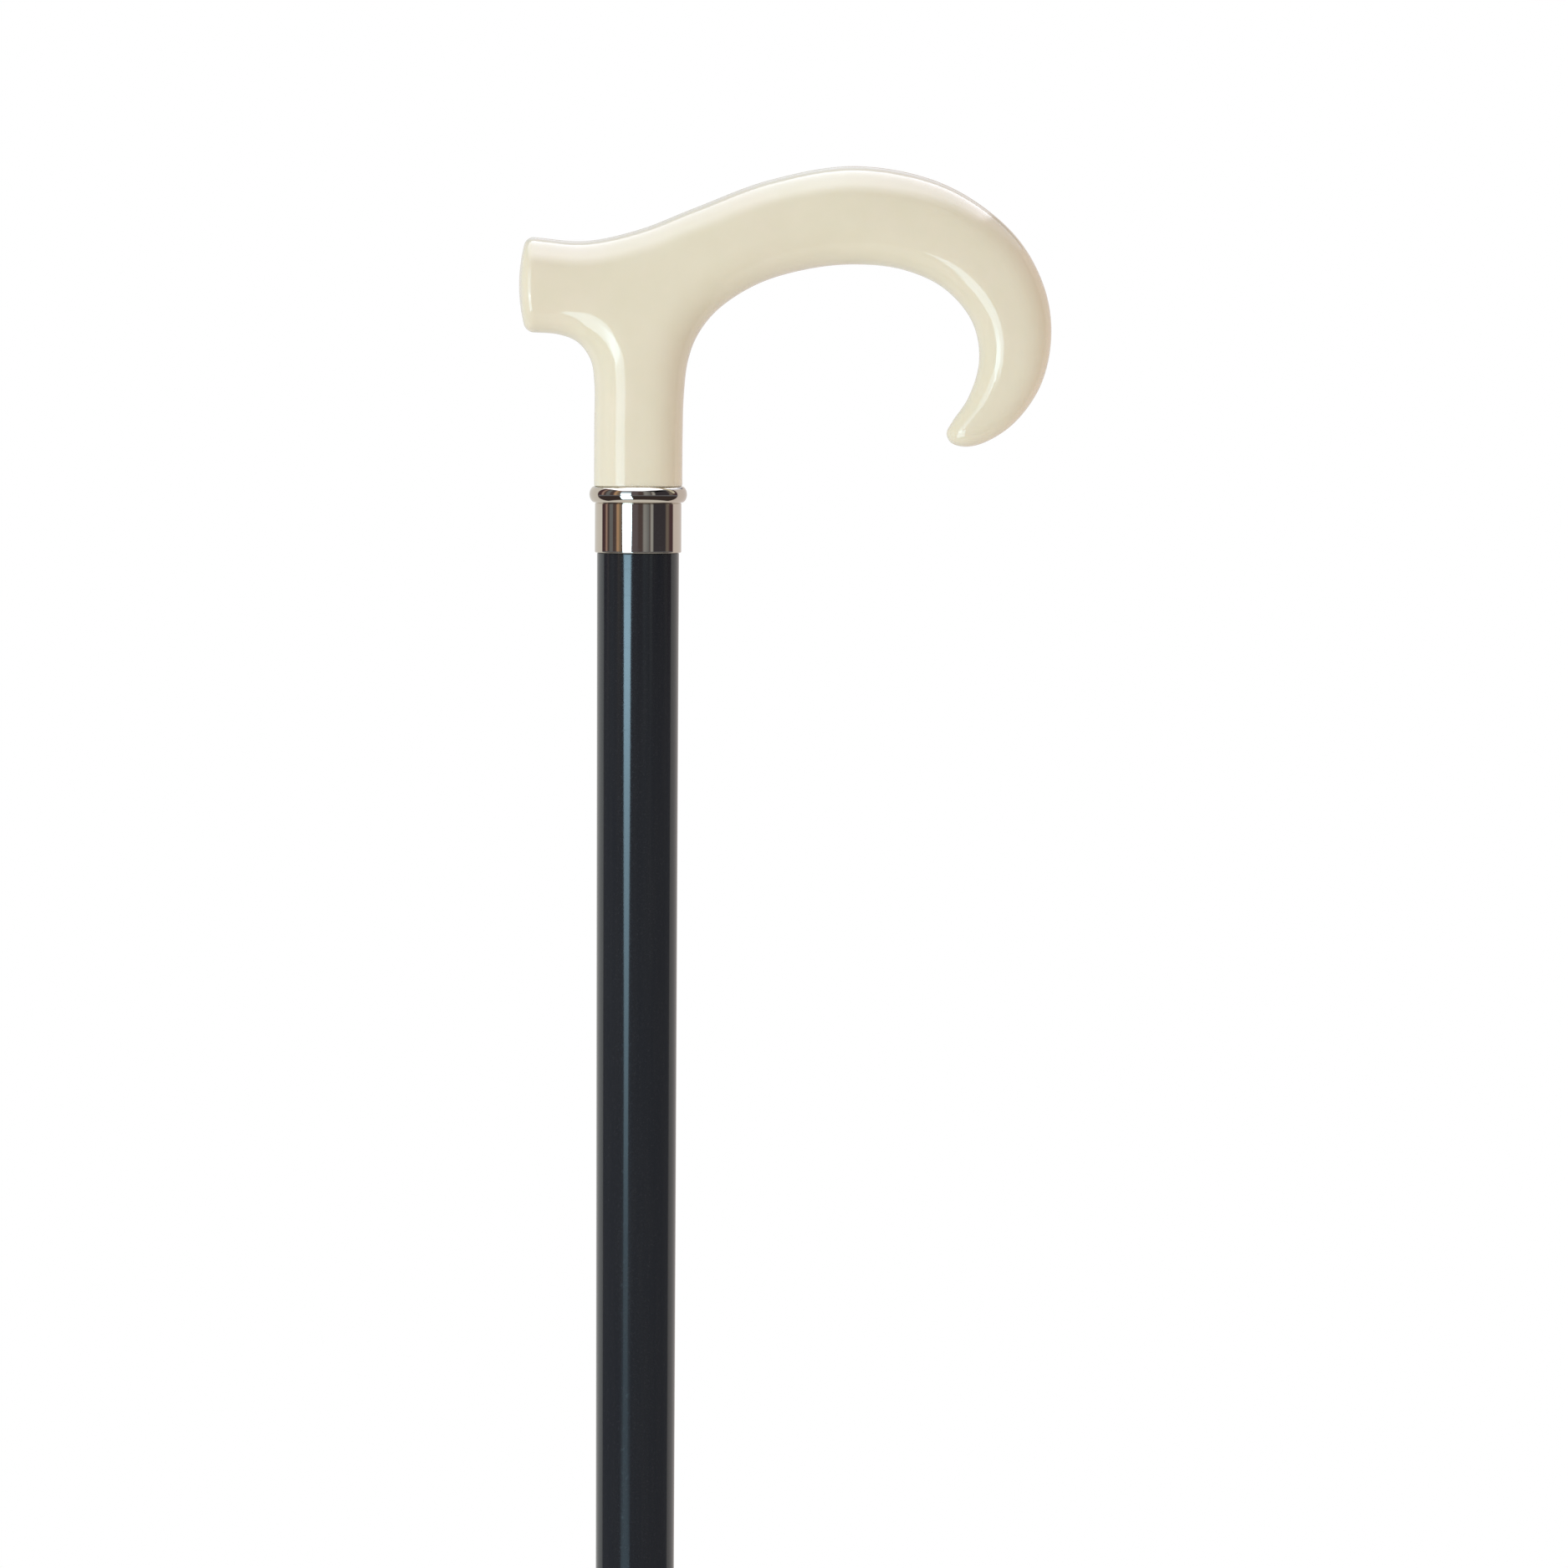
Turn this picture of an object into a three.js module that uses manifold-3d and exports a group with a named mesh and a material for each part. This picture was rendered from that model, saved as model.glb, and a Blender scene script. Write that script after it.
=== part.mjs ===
// A derby handle walking cane, in millimetres, +Z up.
// The origin is the middle of the ferrule's foot, on the shaft's axis. The handle's hook points along +X.

import * as THREE from 'three';
import { mergeVertices } from 'three/addons/utils/BufferGeometryUtils.js';
import Module from 'manifold-3d';

const wasm = await Module();
wasm.setup();

// Whole cane
const caneHeight = 920;        // foot to the crown of the grip
const seatGap = 0.1;           // between two faces that rest on each other
const gluedGap = 0.1;          // round a glued or pushed-on joint
const overrun = 2;             // how far a cut or a joined stub runs past the face it passes

// Handle, seen from the side; heights are above the collar's top edge
const gripRise = 78.1;         // to the crown of the grip
const gripThickness = 23.9;    // crown to the arch below it
const hookReach = 100.6;       // shaft's axis to the outside of the hook
const hookThickness = 17.6;
const noseReach = 29.2;        // shaft's axis to the tip of the nose, behind the stem
const noseThickness = 23.2;
const noseDome = 1.7;          // bulge of the nose's end face
const noseEdge = 1.9;          // rounding of its rim
const stemProud = 0.25;        // of the stem's sides beyond the collar's sleeve
const noseTopShare = 0.775;    // of the grip's rise: the upper edge of the nose

// Handle, seen from the end
const gripWidth = 22.6;        // at the crown
const stemDepthShare = 0.97;   // of the stem's width in the side view
const roundDepth = 12;         // how far the rounding of the edges reaches in from the side outline
const roundShare = 0.92;       // of the local half thickness: the same, where the handle is slimmer
const sectionPower = 2.4;      // 2 is an ellipse, more is squarer
const blendReach = 9;          // over which one width changes into the next
const facetSize = 2.9;

// Joint of the handle and the shaft
const spigotLength = 5;
const insertWall = 1.3;
const insertLength = 26;
const insertRecess = 0.8;      // behind the face of the spigot
const insertBarbs = 4;
const insertBarbDepth = 0.5;
const screwDiameter = 8;
const machinePitch = 1.25;
const machineThreadDepth = 0.7;
const machineEndLength = 22;   // of the joining screw, up inside the insert
const woodPitch = 3.6;
const woodThreadDepth = 1.3;
const woodEndLength = 42;      // of the joining screw, down inside the shaft
const woodPointLength = 5;
const shankLength = 7;         // of the plain part between the two threads
const shankChamfer = 1.6;
const screwGap = 0.15;         // round the crests of its threads
const boreEndGap = 1.5;        // left beyond the end of the screw or the insert

// Collar
const collarHeight = 16.2;
const collarWall = 0.75;
const beadHeight = 4;
const beadProud = 1.35;        // of the bead beyond the sleeve
const collarEdge = 0.6;        // rounding of its lower rim

// Shaft
const shaftTopDiameter = 20;
const shaftTipDiameter = 17.2;
const seatStep = 0.3;          // turned off the radius where the collar sits
const tipChamfer = 0.8;

// Ferrule and the washer in its socket
const ferruleHeight = 40;
const ferruleFloor = 7;
const ferruleWall = 3.4;
const footDiameter = 33;
const footEdge = 1.1;
const footSkirt = 3.2;         // height of the straight rim above the foot
const flareHeight = 13;        // from the rim up to the neck
const lipHeight = 3.4;
const lipProud = 0.7;
const ribCount = 3;
const ribHeight = 1.8;
const ribProud = 0.6;
const treadPad = 4.5;          // radius of the flat pad in the middle of the foot
const treadGrooves = 3;
const grooveDepth = 1.2;
const mouthChamfer = 0.8;
const washerThickness = 1.5;
const washerGap = 0.25;        // round the washer in the socket

// Facets round each piece
const roundSides = 40;
const smallSides = 24;
const threadSides = 12;        // also the steps in one turn of a thread

// Worked out
const collarTop = caneHeight - gripRise;
const collarBottom = collarTop - collarHeight;
const seatRadius = shaftTopDiameter / 2 - seatStep;
const collarBore = seatRadius + gluedGap;
const sleeveRadius = collarBore + collarWall;
const stemSide = sleeveRadius + stemProud;
const noseTop = gripRise * noseTopShare;
const noseUnder = noseTop - noseThickness;
const noseMiddle = noseTop - noseThickness / 2;
const gapReach = hookReach - hookThickness;
const archRise = gripRise - gripThickness;
const washerBottom = ferruleFloor + seatGap;
const shaftTip = washerBottom + washerThickness + seatGap;
const shaftTop = collarTop - spigotLength - 3 * seatGap;
const screwBore = screwDiameter / 2 + screwGap;
const insertRadius = screwBore + insertWall;
const insertBottom = insertRecess - spigotLength;
const insertTop = insertBottom + insertLength;
const tipRadius = shaftTipDiameter / 2;
const socketRadius = tipRadius + (shaftTopDiameter - shaftTipDiameter) / 2
  * (ferruleHeight - shaftTip) / (collarBottom - shaftTip) + gluedGap;

const materials = {
  acrylic: material(0xe6dfcb, 0.22, 0),
  nickel: material(0xb9b7b2, 0.12, 1),
  lacquer: material(0x26272b, 0.28, 0),
  brass: material(0xb08d4c, 0.35, 1),
  steel: material(0x8e9194, 0.4, 1),
  rubber: material(0x1d1d1e, 0.85, 0),
};

function material(color, roughness, metalness) {
  return new THREE.MeshStandardMaterial({ color, roughness, metalness });
}

// Side outline of the handle, as points [x, z]: closed, and run on past the nose and the foot of the stem,
// where the end face and the collar cut it off.
function sideOutline() {
  // Up the back of the stem and along under the nose: [share of the nose's overhang, share of its underside]
  const backShares = [[0, 0.38], [0, 0.67], [0.05, 0.823], [0.217, 0.936], [0.451, 0.985], [0.793, 1],
    [1.86, 0.992]];
  // Along the top of the nose: [share of the nose's reach, share of the grip's rise]
  const noseShares = [[1.54, 0.8], [0.87, 0.775], [0.445, 0.764]];
  // Over the grip and down the outside of the hook: [share of the hook's reach, share of the grip's rise]
  const outerShares = [[0, 0.8], [0.134, 0.868], [0.316, 0.956], [0.53, 1], [0.742, 0.943], [0.905, 0.795],
    [0.98, 0.634], [1, 0.478], [0.975, 0.32], [0.91, 0.2], [0.835, 0.138]];
  // Round the tip, up inside the hook, along the arch and down the stem:
  // [share of the way from the stem to the hook, share of the arch's rise]
  const innerShares = [[0.949, 0.183], [0.906, 0.201], [0.891, 0.243], [0.911, 0.297], [0.964, 0.404],
    [1, 0.573], [0.976, 0.743], [0.882, 0.892], [0.744, 0.976], [0.575, 1], [0.405, 0.974], [0.248, 0.908],
    [0.117, 0.794], [0.05, 0.681], [0.018, 0.568], [0.004, 0.418], [0, 0.22]];
  const footOfStem = -2 * stemSide;
  const noseOverhang = noseReach - stemSide;
  const back = [
    new THREE.Vector3(-stemSide, 0, footOfStem),
    ...backShares.map(([x, z]) => new THREE.Vector3(-stemSide - x * noseOverhang, 0, z * noseUnder)),
  ];
  const front = [
    ...noseShares.map(([x, z]) => new THREE.Vector3(-x * noseReach, 0, z * gripRise)),
    ...outerShares.map(([x, z]) => new THREE.Vector3(x * hookReach, 0, z * gripRise)),
    ...innerShares.map(([x, z]) => new THREE.Vector3(stemSide + x * (gapReach - stemSide), 0, z * archRise)),
    new THREE.Vector3(stemSide, 0, footOfStem),
  ];
  const stepsPerPoint = 6;
  const smooth = (points) => new THREE.CatmullRomCurve3(points, false, 'centripetal')
    .getPoints(points.length * stepsPerPoint);
  return [...smooth(back), ...smooth(front)].map((point) => [point.x, point.z]);
}

// Distance from a point in the side view to a closed outline, positive inside it
function depthInside(outline, x, z) {
  let nearest = Infinity;
  let inside = false;
  outline.forEach(([startX, startZ], index) => {
    const [endX, endZ] = outline[(index + 1) % outline.length];
    const alongX = endX - startX;
    const alongZ = endZ - startZ;
    const lengthSquared = alongX * alongX + alongZ * alongZ;
    if (lengthSquared === 0) return;
    const share = ((x - startX) * alongX + (z - startZ) * alongZ) / lengthSquared;
    const clamped = Math.min(1, Math.max(0, share));
    nearest = Math.min(nearest, Math.hypot(x - startX - alongX * clamped, z - startZ - alongZ * clamped));
    if ((startZ > z) !== (endZ > z) && x < startX + (z - startZ) / alongZ * alongX) inside = !inside;
  });
  return inside ? nearest : -nearest;
}

// The handle as a field: negative inside, zero on the surface and about the distance from it elsewhere. Its
// cross-section is a squarish oval: flat where the side view is thick, fully rounded where it is slim.
function handleField() {
  // Along the middle of the grip: shares of the hook's reach, of the grip's rise and of the grip's width
  const gripShares = [[-0.28, 0.63, 0.87], [-0.15, 0.61, 0.9], [0, 0.6, 0.93], [0.15, 0.71, 0.95],
    [0.32, 0.8, 0.98], [0.52, 0.85, 1], [0.7, 0.81, 0.98], [0.83, 0.7, 0.92], [0.9, 0.55, 0.82],
    [0.91, 0.42, 0.74], [0.885, 0.31, 0.65], [0.835, 0.22, 0.53], [0.79, 0.165, 0.42]];
  // Up the middle of the stem: shares of the grip's rise
  const stemShares = [-0.1, 0.1, 0.3];
  const outline = sideOutline();
  const station = (x, z, halfWidth) => {
    const rounding = Math.min(roundDepth, roundShare * depthInside(outline, x, z));
    return { x, z, rounding, halfWidth };
  };
  const stations = [
    ...gripShares.map(([x, z, width]) => station(x * hookReach, z * gripRise, width * gripWidth / 2)),
    ...stemShares.map((z) => station(0, z * gripRise, stemDepthShare * stemSide)),
  ];
  return ({ x, y, z }) => {
    let total = 0;
    let halfWidth = 0;
    let rounding = 0;
    for (const near of stations) {
      const away = ((x - near.x) ** 2 + (z - near.z) ** 2) / (2 * blendReach ** 2);
      const weight = Math.exp(-away);
      total += weight;
      halfWidth += weight * near.halfWidth;
      rounding += weight * near.rounding;
    }
    halfWidth /= total;
    rounding /= total;
    const across = Math.abs(y) / halfWidth;
    const inward = Math.max(0, 1 - depthInside(outline, x, z) / rounding);
    const oval = (across ** sectionPower + inward ** sectionPower) ** (1 / sectionPower);
    const sides = (oval - 1) * halfWidth;
    if (x > -noseReach / 2) return sides;
    const fromMiddle = Math.hypot(y, z - noseMiddle) / (noseThickness / 2);
    const endFace = noseDome * fromMiddle ** 2 - noseReach - x;
    const rim = Math.hypot(Math.max(0, sides + noseEdge), Math.max(0, endFace + noseEdge));
    return Math.min(-noseEdge, Math.max(sides, endFace)) + rim;
  };
}

// Mesh of a field's zero surface: one point in each cell that it crosses, moved onto it, and one quad round
// each grid edge that it cuts.
function meshField(field, low, high, step) {
  const counts = high.clone().sub(low).divideScalar(step).ceil();
  const strideY = counts.x + 1;
  const strideZ = strideY * (counts.y + 1);
  const strides = [1, strideY, strideZ];
  const values = new Float64Array(strideZ * (counts.z + 1));
  const corner = (i, j, k) => new THREE.Vector3(i, j, k).multiplyScalar(step).add(low);
  for (let k = 0; k <= counts.z; k++) {
    for (let j = 0; j <= counts.y; j++) {
      for (let i = 0; i <= counts.x; i++) values[i + j * strideY + k * strideZ] = field(corner(i, j, k));
    }
  }
  const points = [];
  const pointOfCell = new Map();
  const corners = [0, 1, 2, 3, 4, 5, 6, 7].map((bits) => [bits & 1, bits >> 1 & 1, bits >> 2]);
  for (let k = 0; k < counts.z; k++) {
    for (let j = 0; j < counts.y; j++) {
      for (let i = 0; i < counts.x; i++) {
        const cell = i + j * strideY + k * strideZ;
        const crossing = new THREE.Vector3();
        let crossings = 0;
        for (const from of corners) {
          for (let axis = 0; axis < 3; axis++) {
            if (from[axis] === 1) continue;
            const start = values[cell + from[0] + from[1] * strideY + from[2] * strideZ];
            const end = values[cell + from[0] + from[1] * strideY + from[2] * strideZ + strides[axis]];
            if ((start < 0) === (end < 0)) continue;
            const place = from.slice();
            place[axis] += start / (start - end);
            crossing.add(new THREE.Vector3(...place));
            crossings += 1;
          }
        }
        if (crossings === 0) continue;
        const point = crossing.divideScalar(crossings).add(new THREE.Vector3(i, j, k));
        pointOfCell.set(cell, points.length);
        points.push(settle(field, point.multiplyScalar(step).add(low), step));
      }
    }
  }
  const triangles = [];
  for (let axis = 0; axis < 3; axis++) {
    const sideways = strides[(axis + 1) % 3];
    const upward = strides[(axis + 2) % 3];
    for (const cell of pointOfCell.keys()) {
      const start = values[cell];
      const end = values[cell + strides[axis]];
      if ((start < 0) === (end < 0)) continue;
      const round = [cell, cell - upward, cell - sideways - upward, cell - sideways];
      if (start < 0) round.reverse();
      triangles.push(...splitQuad(round.map((at) => pointOfCell.get(at)), points));
    }
  }
  return solidGeometry(points, triangles);
}

// Moves a point onto a field's zero surface along the field's slope
function settle(field, point, step) {
  const probe = step / 100;
  const rounds = 5;
  const leastSlope = 0.1;
  const axes = ['x', 'y', 'z'];
  for (let round = 0; round < rounds; round++) {
    const slope = new THREE.Vector3();
    for (const axis of axes) {
      const ahead = point.clone();
      const behind = point.clone();
      ahead[axis] += probe;
      behind[axis] -= probe;
      slope[axis] = (field(ahead) - field(behind)) / (2 * probe);
    }
    const move = field(point) / Math.max(slope.lengthSq(), leastSlope);
    point.addScaledVector(slope, -THREE.MathUtils.clamp(move, -step / 2, step / 2));
  }
  return point;
}

// Two triangles from a quad, split along its shorter diagonal
function splitQuad([a, b, c, d], points) {
  const acIsShorter = points[a].distanceTo(points[c]) < points[b].distanceTo(points[d]);
  return acIsShorter ? [a, b, c, a, c, d] : [a, b, d, b, c, d];
}

function solidGeometry(points, triangles) {
  const geometry = new THREE.BufferGeometry().setFromPoints(points);
  geometry.setIndex(triangles);
  return geometry;
}

// A turned solid: a profile of [radius, height] points, from the axis to the axis or closed on itself
function turned(profile, sides) {
  return new THREE.LatheGeometry(profile.map(([radius, height]) => new THREE.Vector2(radius, height)), sides)
    .rotateX(Math.PI / 2);
}

// A plain round bar between two heights
function bar(radius, bottom, top, sides) {
  return turned([[0, bottom], [radius, bottom], [radius, top], [0, top]], sides);
}

function toManifold(geometry) {
  const plain = geometry.clone();
  plain.deleteAttribute('normal');
  plain.deleteAttribute('uv');
  const merged = mergeVertices(plain);
  const corners = Array.from(merged.index.array);
  const triVerts = [];
  for (let at = 0; at < corners.length; at += 3) {
    const [a, b, c] = corners.slice(at, at + 3);
    if (a !== b && b !== c && c !== a) triVerts.push(a, b, c);
  }
  return new wasm.Manifold(new wasm.Mesh({
    numProp: 3,
    vertProperties: new Float32Array(merged.attributes.position.array),
    triVerts: new Uint32Array(triVerts),
  }));
}

function fromManifold(solid) {
  const { vertProperties, triVerts } = solid.getMesh();
  const geometry = new THREE.BufferGeometry();
  geometry.setAttribute('position', new THREE.BufferAttribute(vertProperties, 3));
  geometry.setIndex(new THREE.BufferAttribute(triVerts, 1));
  return geometry;
}

// A helical ridge of triangular section, its root sunk into the core it is joined to
function threadRidge(crestRadius, depth, pitch, bottom, top) {
  const turns = Math.floor((top - bottom) / pitch) - 1;
  const steps = turns * threadSides;
  const sunkRadius = crestRadius - 1.5 * depth;
  const rootShare = 0.4;
  const points = [];
  const triangles = [];
  for (let step = 0; step <= steps; step++) {
    const angle = step / threadSides * 2 * Math.PI;
    const middle = bottom + pitch / 2 + step / threadSides * pitch;
    const outward = new THREE.Vector3(Math.cos(angle), Math.sin(angle), 0);
    for (const [radius, offset] of [[sunkRadius, -rootShare], [crestRadius, 0], [sunkRadius, rootShare]]) {
      points.push(outward.clone().multiplyScalar(radius).setZ(middle + offset * pitch));
    }
    if (step === 0) continue;
    const here = points.length - 3;
    const before = here - 3;
    for (let side = 0; side < 3; side++) {
      const next = (side + 1) % 3;
      triangles.push(before + side, here + side, here + next);
      triangles.push(before + side, here + next, before + next);
    }
  }
  const end = points.length - 3;
  triangles.push(0, 1, 2, end, end + 2, end + 1);
  return solidGeometry(points, triangles);
}

// Handle, in its own frame: heights above the collar's top edge
function handleGeometry() {
  const runOn = 2 * facetSize;
  const halfRows = Math.ceil(gripWidth / 2 / facetSize) + 1;
  const low = new THREE.Vector3(-noseReach - facetSize, -halfRows * facetSize, -runOn);
  const high = new THREE.Vector3(hookReach + facetSize, halfRows * facetSize, gripRise + facetSize);
  const body = toManifold(meshField(cappedField(handleField(), 0.6 * -runOn), low, high, facetSize));
  const belowStem = new THREE.BoxGeometry(4 * stemSide, 4 * stemSide, 2 * runOn).translate(0, 0, -runOn);
  const spigot = bar(seatRadius, 2 * seatGap - spigotLength, overrun, roundSides);
  const bore = bar(insertRadius + gluedGap, -spigotLength - overrun, insertTop + boreEndGap, smallSides);
  const seated = body.subtract(toManifold(belowStem)).add(toManifold(spigot));
  return fromManifold(seated.subtract(toManifold(bore)));
}

// The same field, closed by a flat face at a height
function cappedField(field, bottom) {
  return (point) => Math.max(field(point), bottom - point.z);
}

// Threaded insert, glued in the handle: in the handle's frame
function insertGeometry() {
  const barbPitch = insertLength / (insertBarbs + 1);
  const barbs = [];
  for (let barb = 1; barb <= insertBarbs; barb++) {
    const root = insertBottom + barb * barbPitch;
    barbs.push([insertRadius, root - insertBarbDepth], [insertRadius - insertBarbDepth, root]);
    barbs.push([insertRadius, root + barbPitch / 4]);
  }
  return turned([
    [screwBore + insertBarbDepth, insertBottom],
    [insertRadius, insertBottom],
    ...barbs,
    [insertRadius, insertTop],
    [screwBore, insertTop],
    [screwBore, insertBottom + insertBarbDepth],
    [screwBore + insertBarbDepth, insertBottom],
  ], smallSides);
}

// Joining screw: a machine thread above and a coarse wood thread below, in the handle's frame
function screwGeometry() {
  const crest = screwDiameter / 2;
  const middle = -spigotLength;
  const top = middle + machineEndLength;
  const bottom = middle - woodEndLength;
  const shankTop = middle + shankLength / 2;
  const shankBottom = middle - shankLength / 2;
  const machineRoot = crest - machineThreadDepth;
  const woodRoot = crest - woodThreadDepth;
  const core = turned([
    [0, bottom],
    [woodRoot, bottom + woodPointLength],
    [woodRoot, shankBottom],
    [crest, shankBottom + shankChamfer],
    [crest, shankTop - shankChamfer],
    [machineRoot, shankTop],
    [machineRoot, top - machineThreadDepth],
    [machineRoot - machineThreadDepth, top],
    [0, top],
  ], threadSides);
  const machineThread = threadRidge(crest, machineThreadDepth, machinePitch, shankTop, top);
  const woodThread = threadRidge(crest, woodThreadDepth, woodPitch, bottom + woodPointLength, shankBottom);
  return fromManifold(toManifold(core).add(toManifold(machineThread)).add(toManifold(woodThread)));
}

// Collar: a sleeve with a rolled bead round its top
function collarGeometry() {
  const beadMiddle = collarTop - beadHeight / 2;
  const beadSteps = 8;
  const bead = [];
  for (let step = 0; step <= beadSteps; step++) {
    const angle = (step / beadSteps - 0.5) * Math.PI;
    bead.push([
      sleeveRadius + beadProud * Math.cos(angle),
      beadMiddle + beadHeight / 2 * Math.sin(angle),
    ]);
  }
  const rim = [0, 1, 2, 3].map((step) => {
    const angle = step / 3 * Math.PI / 2;
    const inset = collarEdge * (1 - Math.sin(angle));
    return [sleeveRadius - inset, collarBottom + collarEdge * (1 - Math.cos(angle))];
  });
  return turned([
    [collarBore, collarBottom],
    ...rim,
    ...bead,
    [collarBore, collarTop],
    [collarBore, collarBottom],
  ], roundSides);
}

// Shaft: a tapered stick, turned down inside the collar and bored for the joining screw
function shaftGeometry() {
  const shoulder = collarBottom - seatGap;
  const boreBottom = collarTop - spigotLength - woodEndLength - boreEndGap;
  return turned([
    [0, shaftTip],
    [tipRadius - tipChamfer, shaftTip],
    [tipRadius, shaftTip + tipChamfer],
    [shaftTopDiameter / 2, shoulder],
    [seatRadius, shoulder],
    [seatRadius, shaftTop - tipChamfer],
    [seatRadius - tipChamfer, shaftTop],
    [screwBore, shaftTop],
    [screwBore, boreBottom + screwBore],
    [0, boreBottom],
  ], roundSides);
}

// Ferrule: a bell-shaped foot with a grooved tread, a ribbed neck and a socket for the shaft's tip
function ferruleGeometry() {
  const footRadius = footDiameter / 2;
  const neckRadius = socketRadius + ferruleWall;
  const neckBottom = footSkirt + flareHeight;
  const lipBottom = ferruleHeight - lipHeight;
  const tread = [];
  const landPitch = (footRadius - footEdge - treadPad) / treadGrooves;
  for (let groove = 0; groove < treadGrooves; groove++) {
    const inner = treadPad + groove * landPitch;
    const slope = landPitch / 8;
    tread.push([inner, 0], [inner + slope, grooveDepth]);
    tread.push([inner + landPitch / 2 - slope, grooveDepth], [inner + landPitch / 2, 0]);
  }
  const flareSteps = 6;
  const flarePower = 1.25;
  const flare = [];
  for (let step = 1; step <= flareSteps; step++) {
    const share = step / flareSteps;
    const radius = footRadius + (neckRadius - footRadius) * Math.sin(share * Math.PI / 2);
    flare.push([radius, footSkirt + flareHeight * share ** flarePower]);
  }
  const ribs = [];
  const ribPitch = (lipBottom - neckBottom) / (ribCount + 1);
  for (let rib = 1; rib <= ribCount; rib++) {
    const middle = neckBottom + rib * ribPitch;
    ribs.push([neckRadius, middle - ribHeight], [neckRadius + ribProud, middle - ribHeight / 2]);
    ribs.push([neckRadius + ribProud, middle + ribHeight / 2], [neckRadius, middle + ribHeight]);
  }
  return turned([
    [0, 0],
    ...tread,
    [footRadius - footEdge, 0],
    [footRadius, footEdge],
    [footRadius, footSkirt],
    ...flare,
    ...ribs,
    [neckRadius, lipBottom],
    [neckRadius + lipProud, lipBottom + lipProud],
    [neckRadius + lipProud, ferruleHeight - lipProud],
    [neckRadius, ferruleHeight],
    [socketRadius + mouthChamfer, ferruleHeight],
    [socketRadius, ferruleHeight - mouthChamfer],
    [socketRadius, ferruleFloor],
    [0, ferruleFloor],
  ], roundSides);
}

function washerGeometry() {
  return bar(socketRadius - washerGap, washerBottom, washerBottom + washerThickness, roundSides);
}

function piece(name, geometry, finish) {
  const mesh = new THREE.Mesh(geometry, finish);
  mesh.name = name;
  return mesh;
}

// Handle, insert and screw are drawn from the collar's top edge, the rest from the foot
const head = new THREE.Group();
head.position.z = collarTop;
head.add(
  piece('handle', handleGeometry(), materials.acrylic),
  piece('handle_insert', insertGeometry(), materials.brass),
  piece('joining_screw', screwGeometry(), materials.steel),
);

const foot = new THREE.Group();
foot.add(
  piece('ferrule', ferruleGeometry(), materials.rubber),
  piece('ferrule_washer', washerGeometry(), materials.steel),
);

const cane = new THREE.Group();
cane.add(
  head,
  piece('collar', collarGeometry(), materials.nickel),
  piece('shaft', shaftGeometry(), materials.lacquer),
  foot,
);

export default cane;
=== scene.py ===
# Looks of a derby handle walking cane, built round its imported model.
# Sizes in the dictionaries are millimetres in the model's own frame; meshes are made in metres.

import math

import bmesh
import bpy
import numpy as np
from mathutils import Matrix, Vector


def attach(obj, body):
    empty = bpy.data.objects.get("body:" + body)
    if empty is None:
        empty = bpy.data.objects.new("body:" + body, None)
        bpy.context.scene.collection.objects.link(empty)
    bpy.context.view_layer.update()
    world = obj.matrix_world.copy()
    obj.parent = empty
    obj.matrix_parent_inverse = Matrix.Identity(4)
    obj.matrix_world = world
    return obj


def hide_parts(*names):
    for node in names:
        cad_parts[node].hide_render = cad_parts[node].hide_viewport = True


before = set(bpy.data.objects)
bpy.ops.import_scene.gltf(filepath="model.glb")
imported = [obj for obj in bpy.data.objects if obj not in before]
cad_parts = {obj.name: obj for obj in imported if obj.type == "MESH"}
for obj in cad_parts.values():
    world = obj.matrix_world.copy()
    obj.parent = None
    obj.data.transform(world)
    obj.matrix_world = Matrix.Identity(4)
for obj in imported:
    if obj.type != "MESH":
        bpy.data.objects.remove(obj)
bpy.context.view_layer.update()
scene = bpy.context.scene
mm = 0.001
print("model loaded:", ", ".join(sorted(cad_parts)))

# Sizes that several pieces share
cane = {
    "collarTop": 841.9,
    "collarBottom": 825.7,
    "seatRadius": 9.7,       # of the shaft and the spigot inside the collar
    "spigotLength": 5.0,
    "gap": 0.1,
    "ferruleHeight": 40.0,
    "shaftTip": 8.7,
    "shaftTipRadius": 8.6,
    "shaftRadius": 10.0,
    "screwBore": 4.15,
}


# Short ways to build node trees
def fillSockets(tree, sockets, values):
    for name, value in values.items():
        if isinstance(value, bpy.types.NodeSocket):
            tree.links.new(value, sockets[name])
        else:
            sockets[name].default_value = value


def addNode(tree, kind, values=None, **settings):
    node = tree.nodes.new(kind)
    for name, value in settings.items():
        setattr(node, name, value)
    fillSockets(tree, node.inputs, values or {})
    return node


def outputOf(tree, kind, values=None, **settings):
    return addNode(tree, kind, values, **settings).outputs[0]


def maths(tree, operation, *values):
    return outputOf(tree, "ShaderNodeMath", dict(enumerate(values)), operation=operation)


def product(tree, value, *others):
    for other in others:
        value = maths(tree, "MULTIPLY", value, other)
    return value


def rise(tree, value, start, end, **settings):
    # From 0 at the start to 1 at the end
    return outputOf(tree, "ShaderNodeMapRange", {
        "Value": value, "From Min": start, "From Max": end,
    }, **settings)


def blend(tree, share, first, second):
    # From the first colour at share 0 to the second at share 1
    return addNode(tree, "ShaderNodeMix", {0: share, 6: first, 7: second}, data_type="RGBA").outputs[2]


def noise(tree, place, scale, detail, roughness=0.5):
    return outputOf(tree, "ShaderNodeTexNoise", {
        "Vector": place, "Scale": scale, "Detail": detail, "Roughness": roughness,
    })


def mapped(tree, place, **change):
    return outputOf(tree, "ShaderNodeMapping", {"Vector": place, **change})


def vector(tree, **parts):
    return outputOf(tree, "ShaderNodeCombineXYZ", parts)


def axesOf(tree, direction):
    return addNode(tree, "ShaderNodeSeparateXYZ", {"Vector": direction}).outputs


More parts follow.
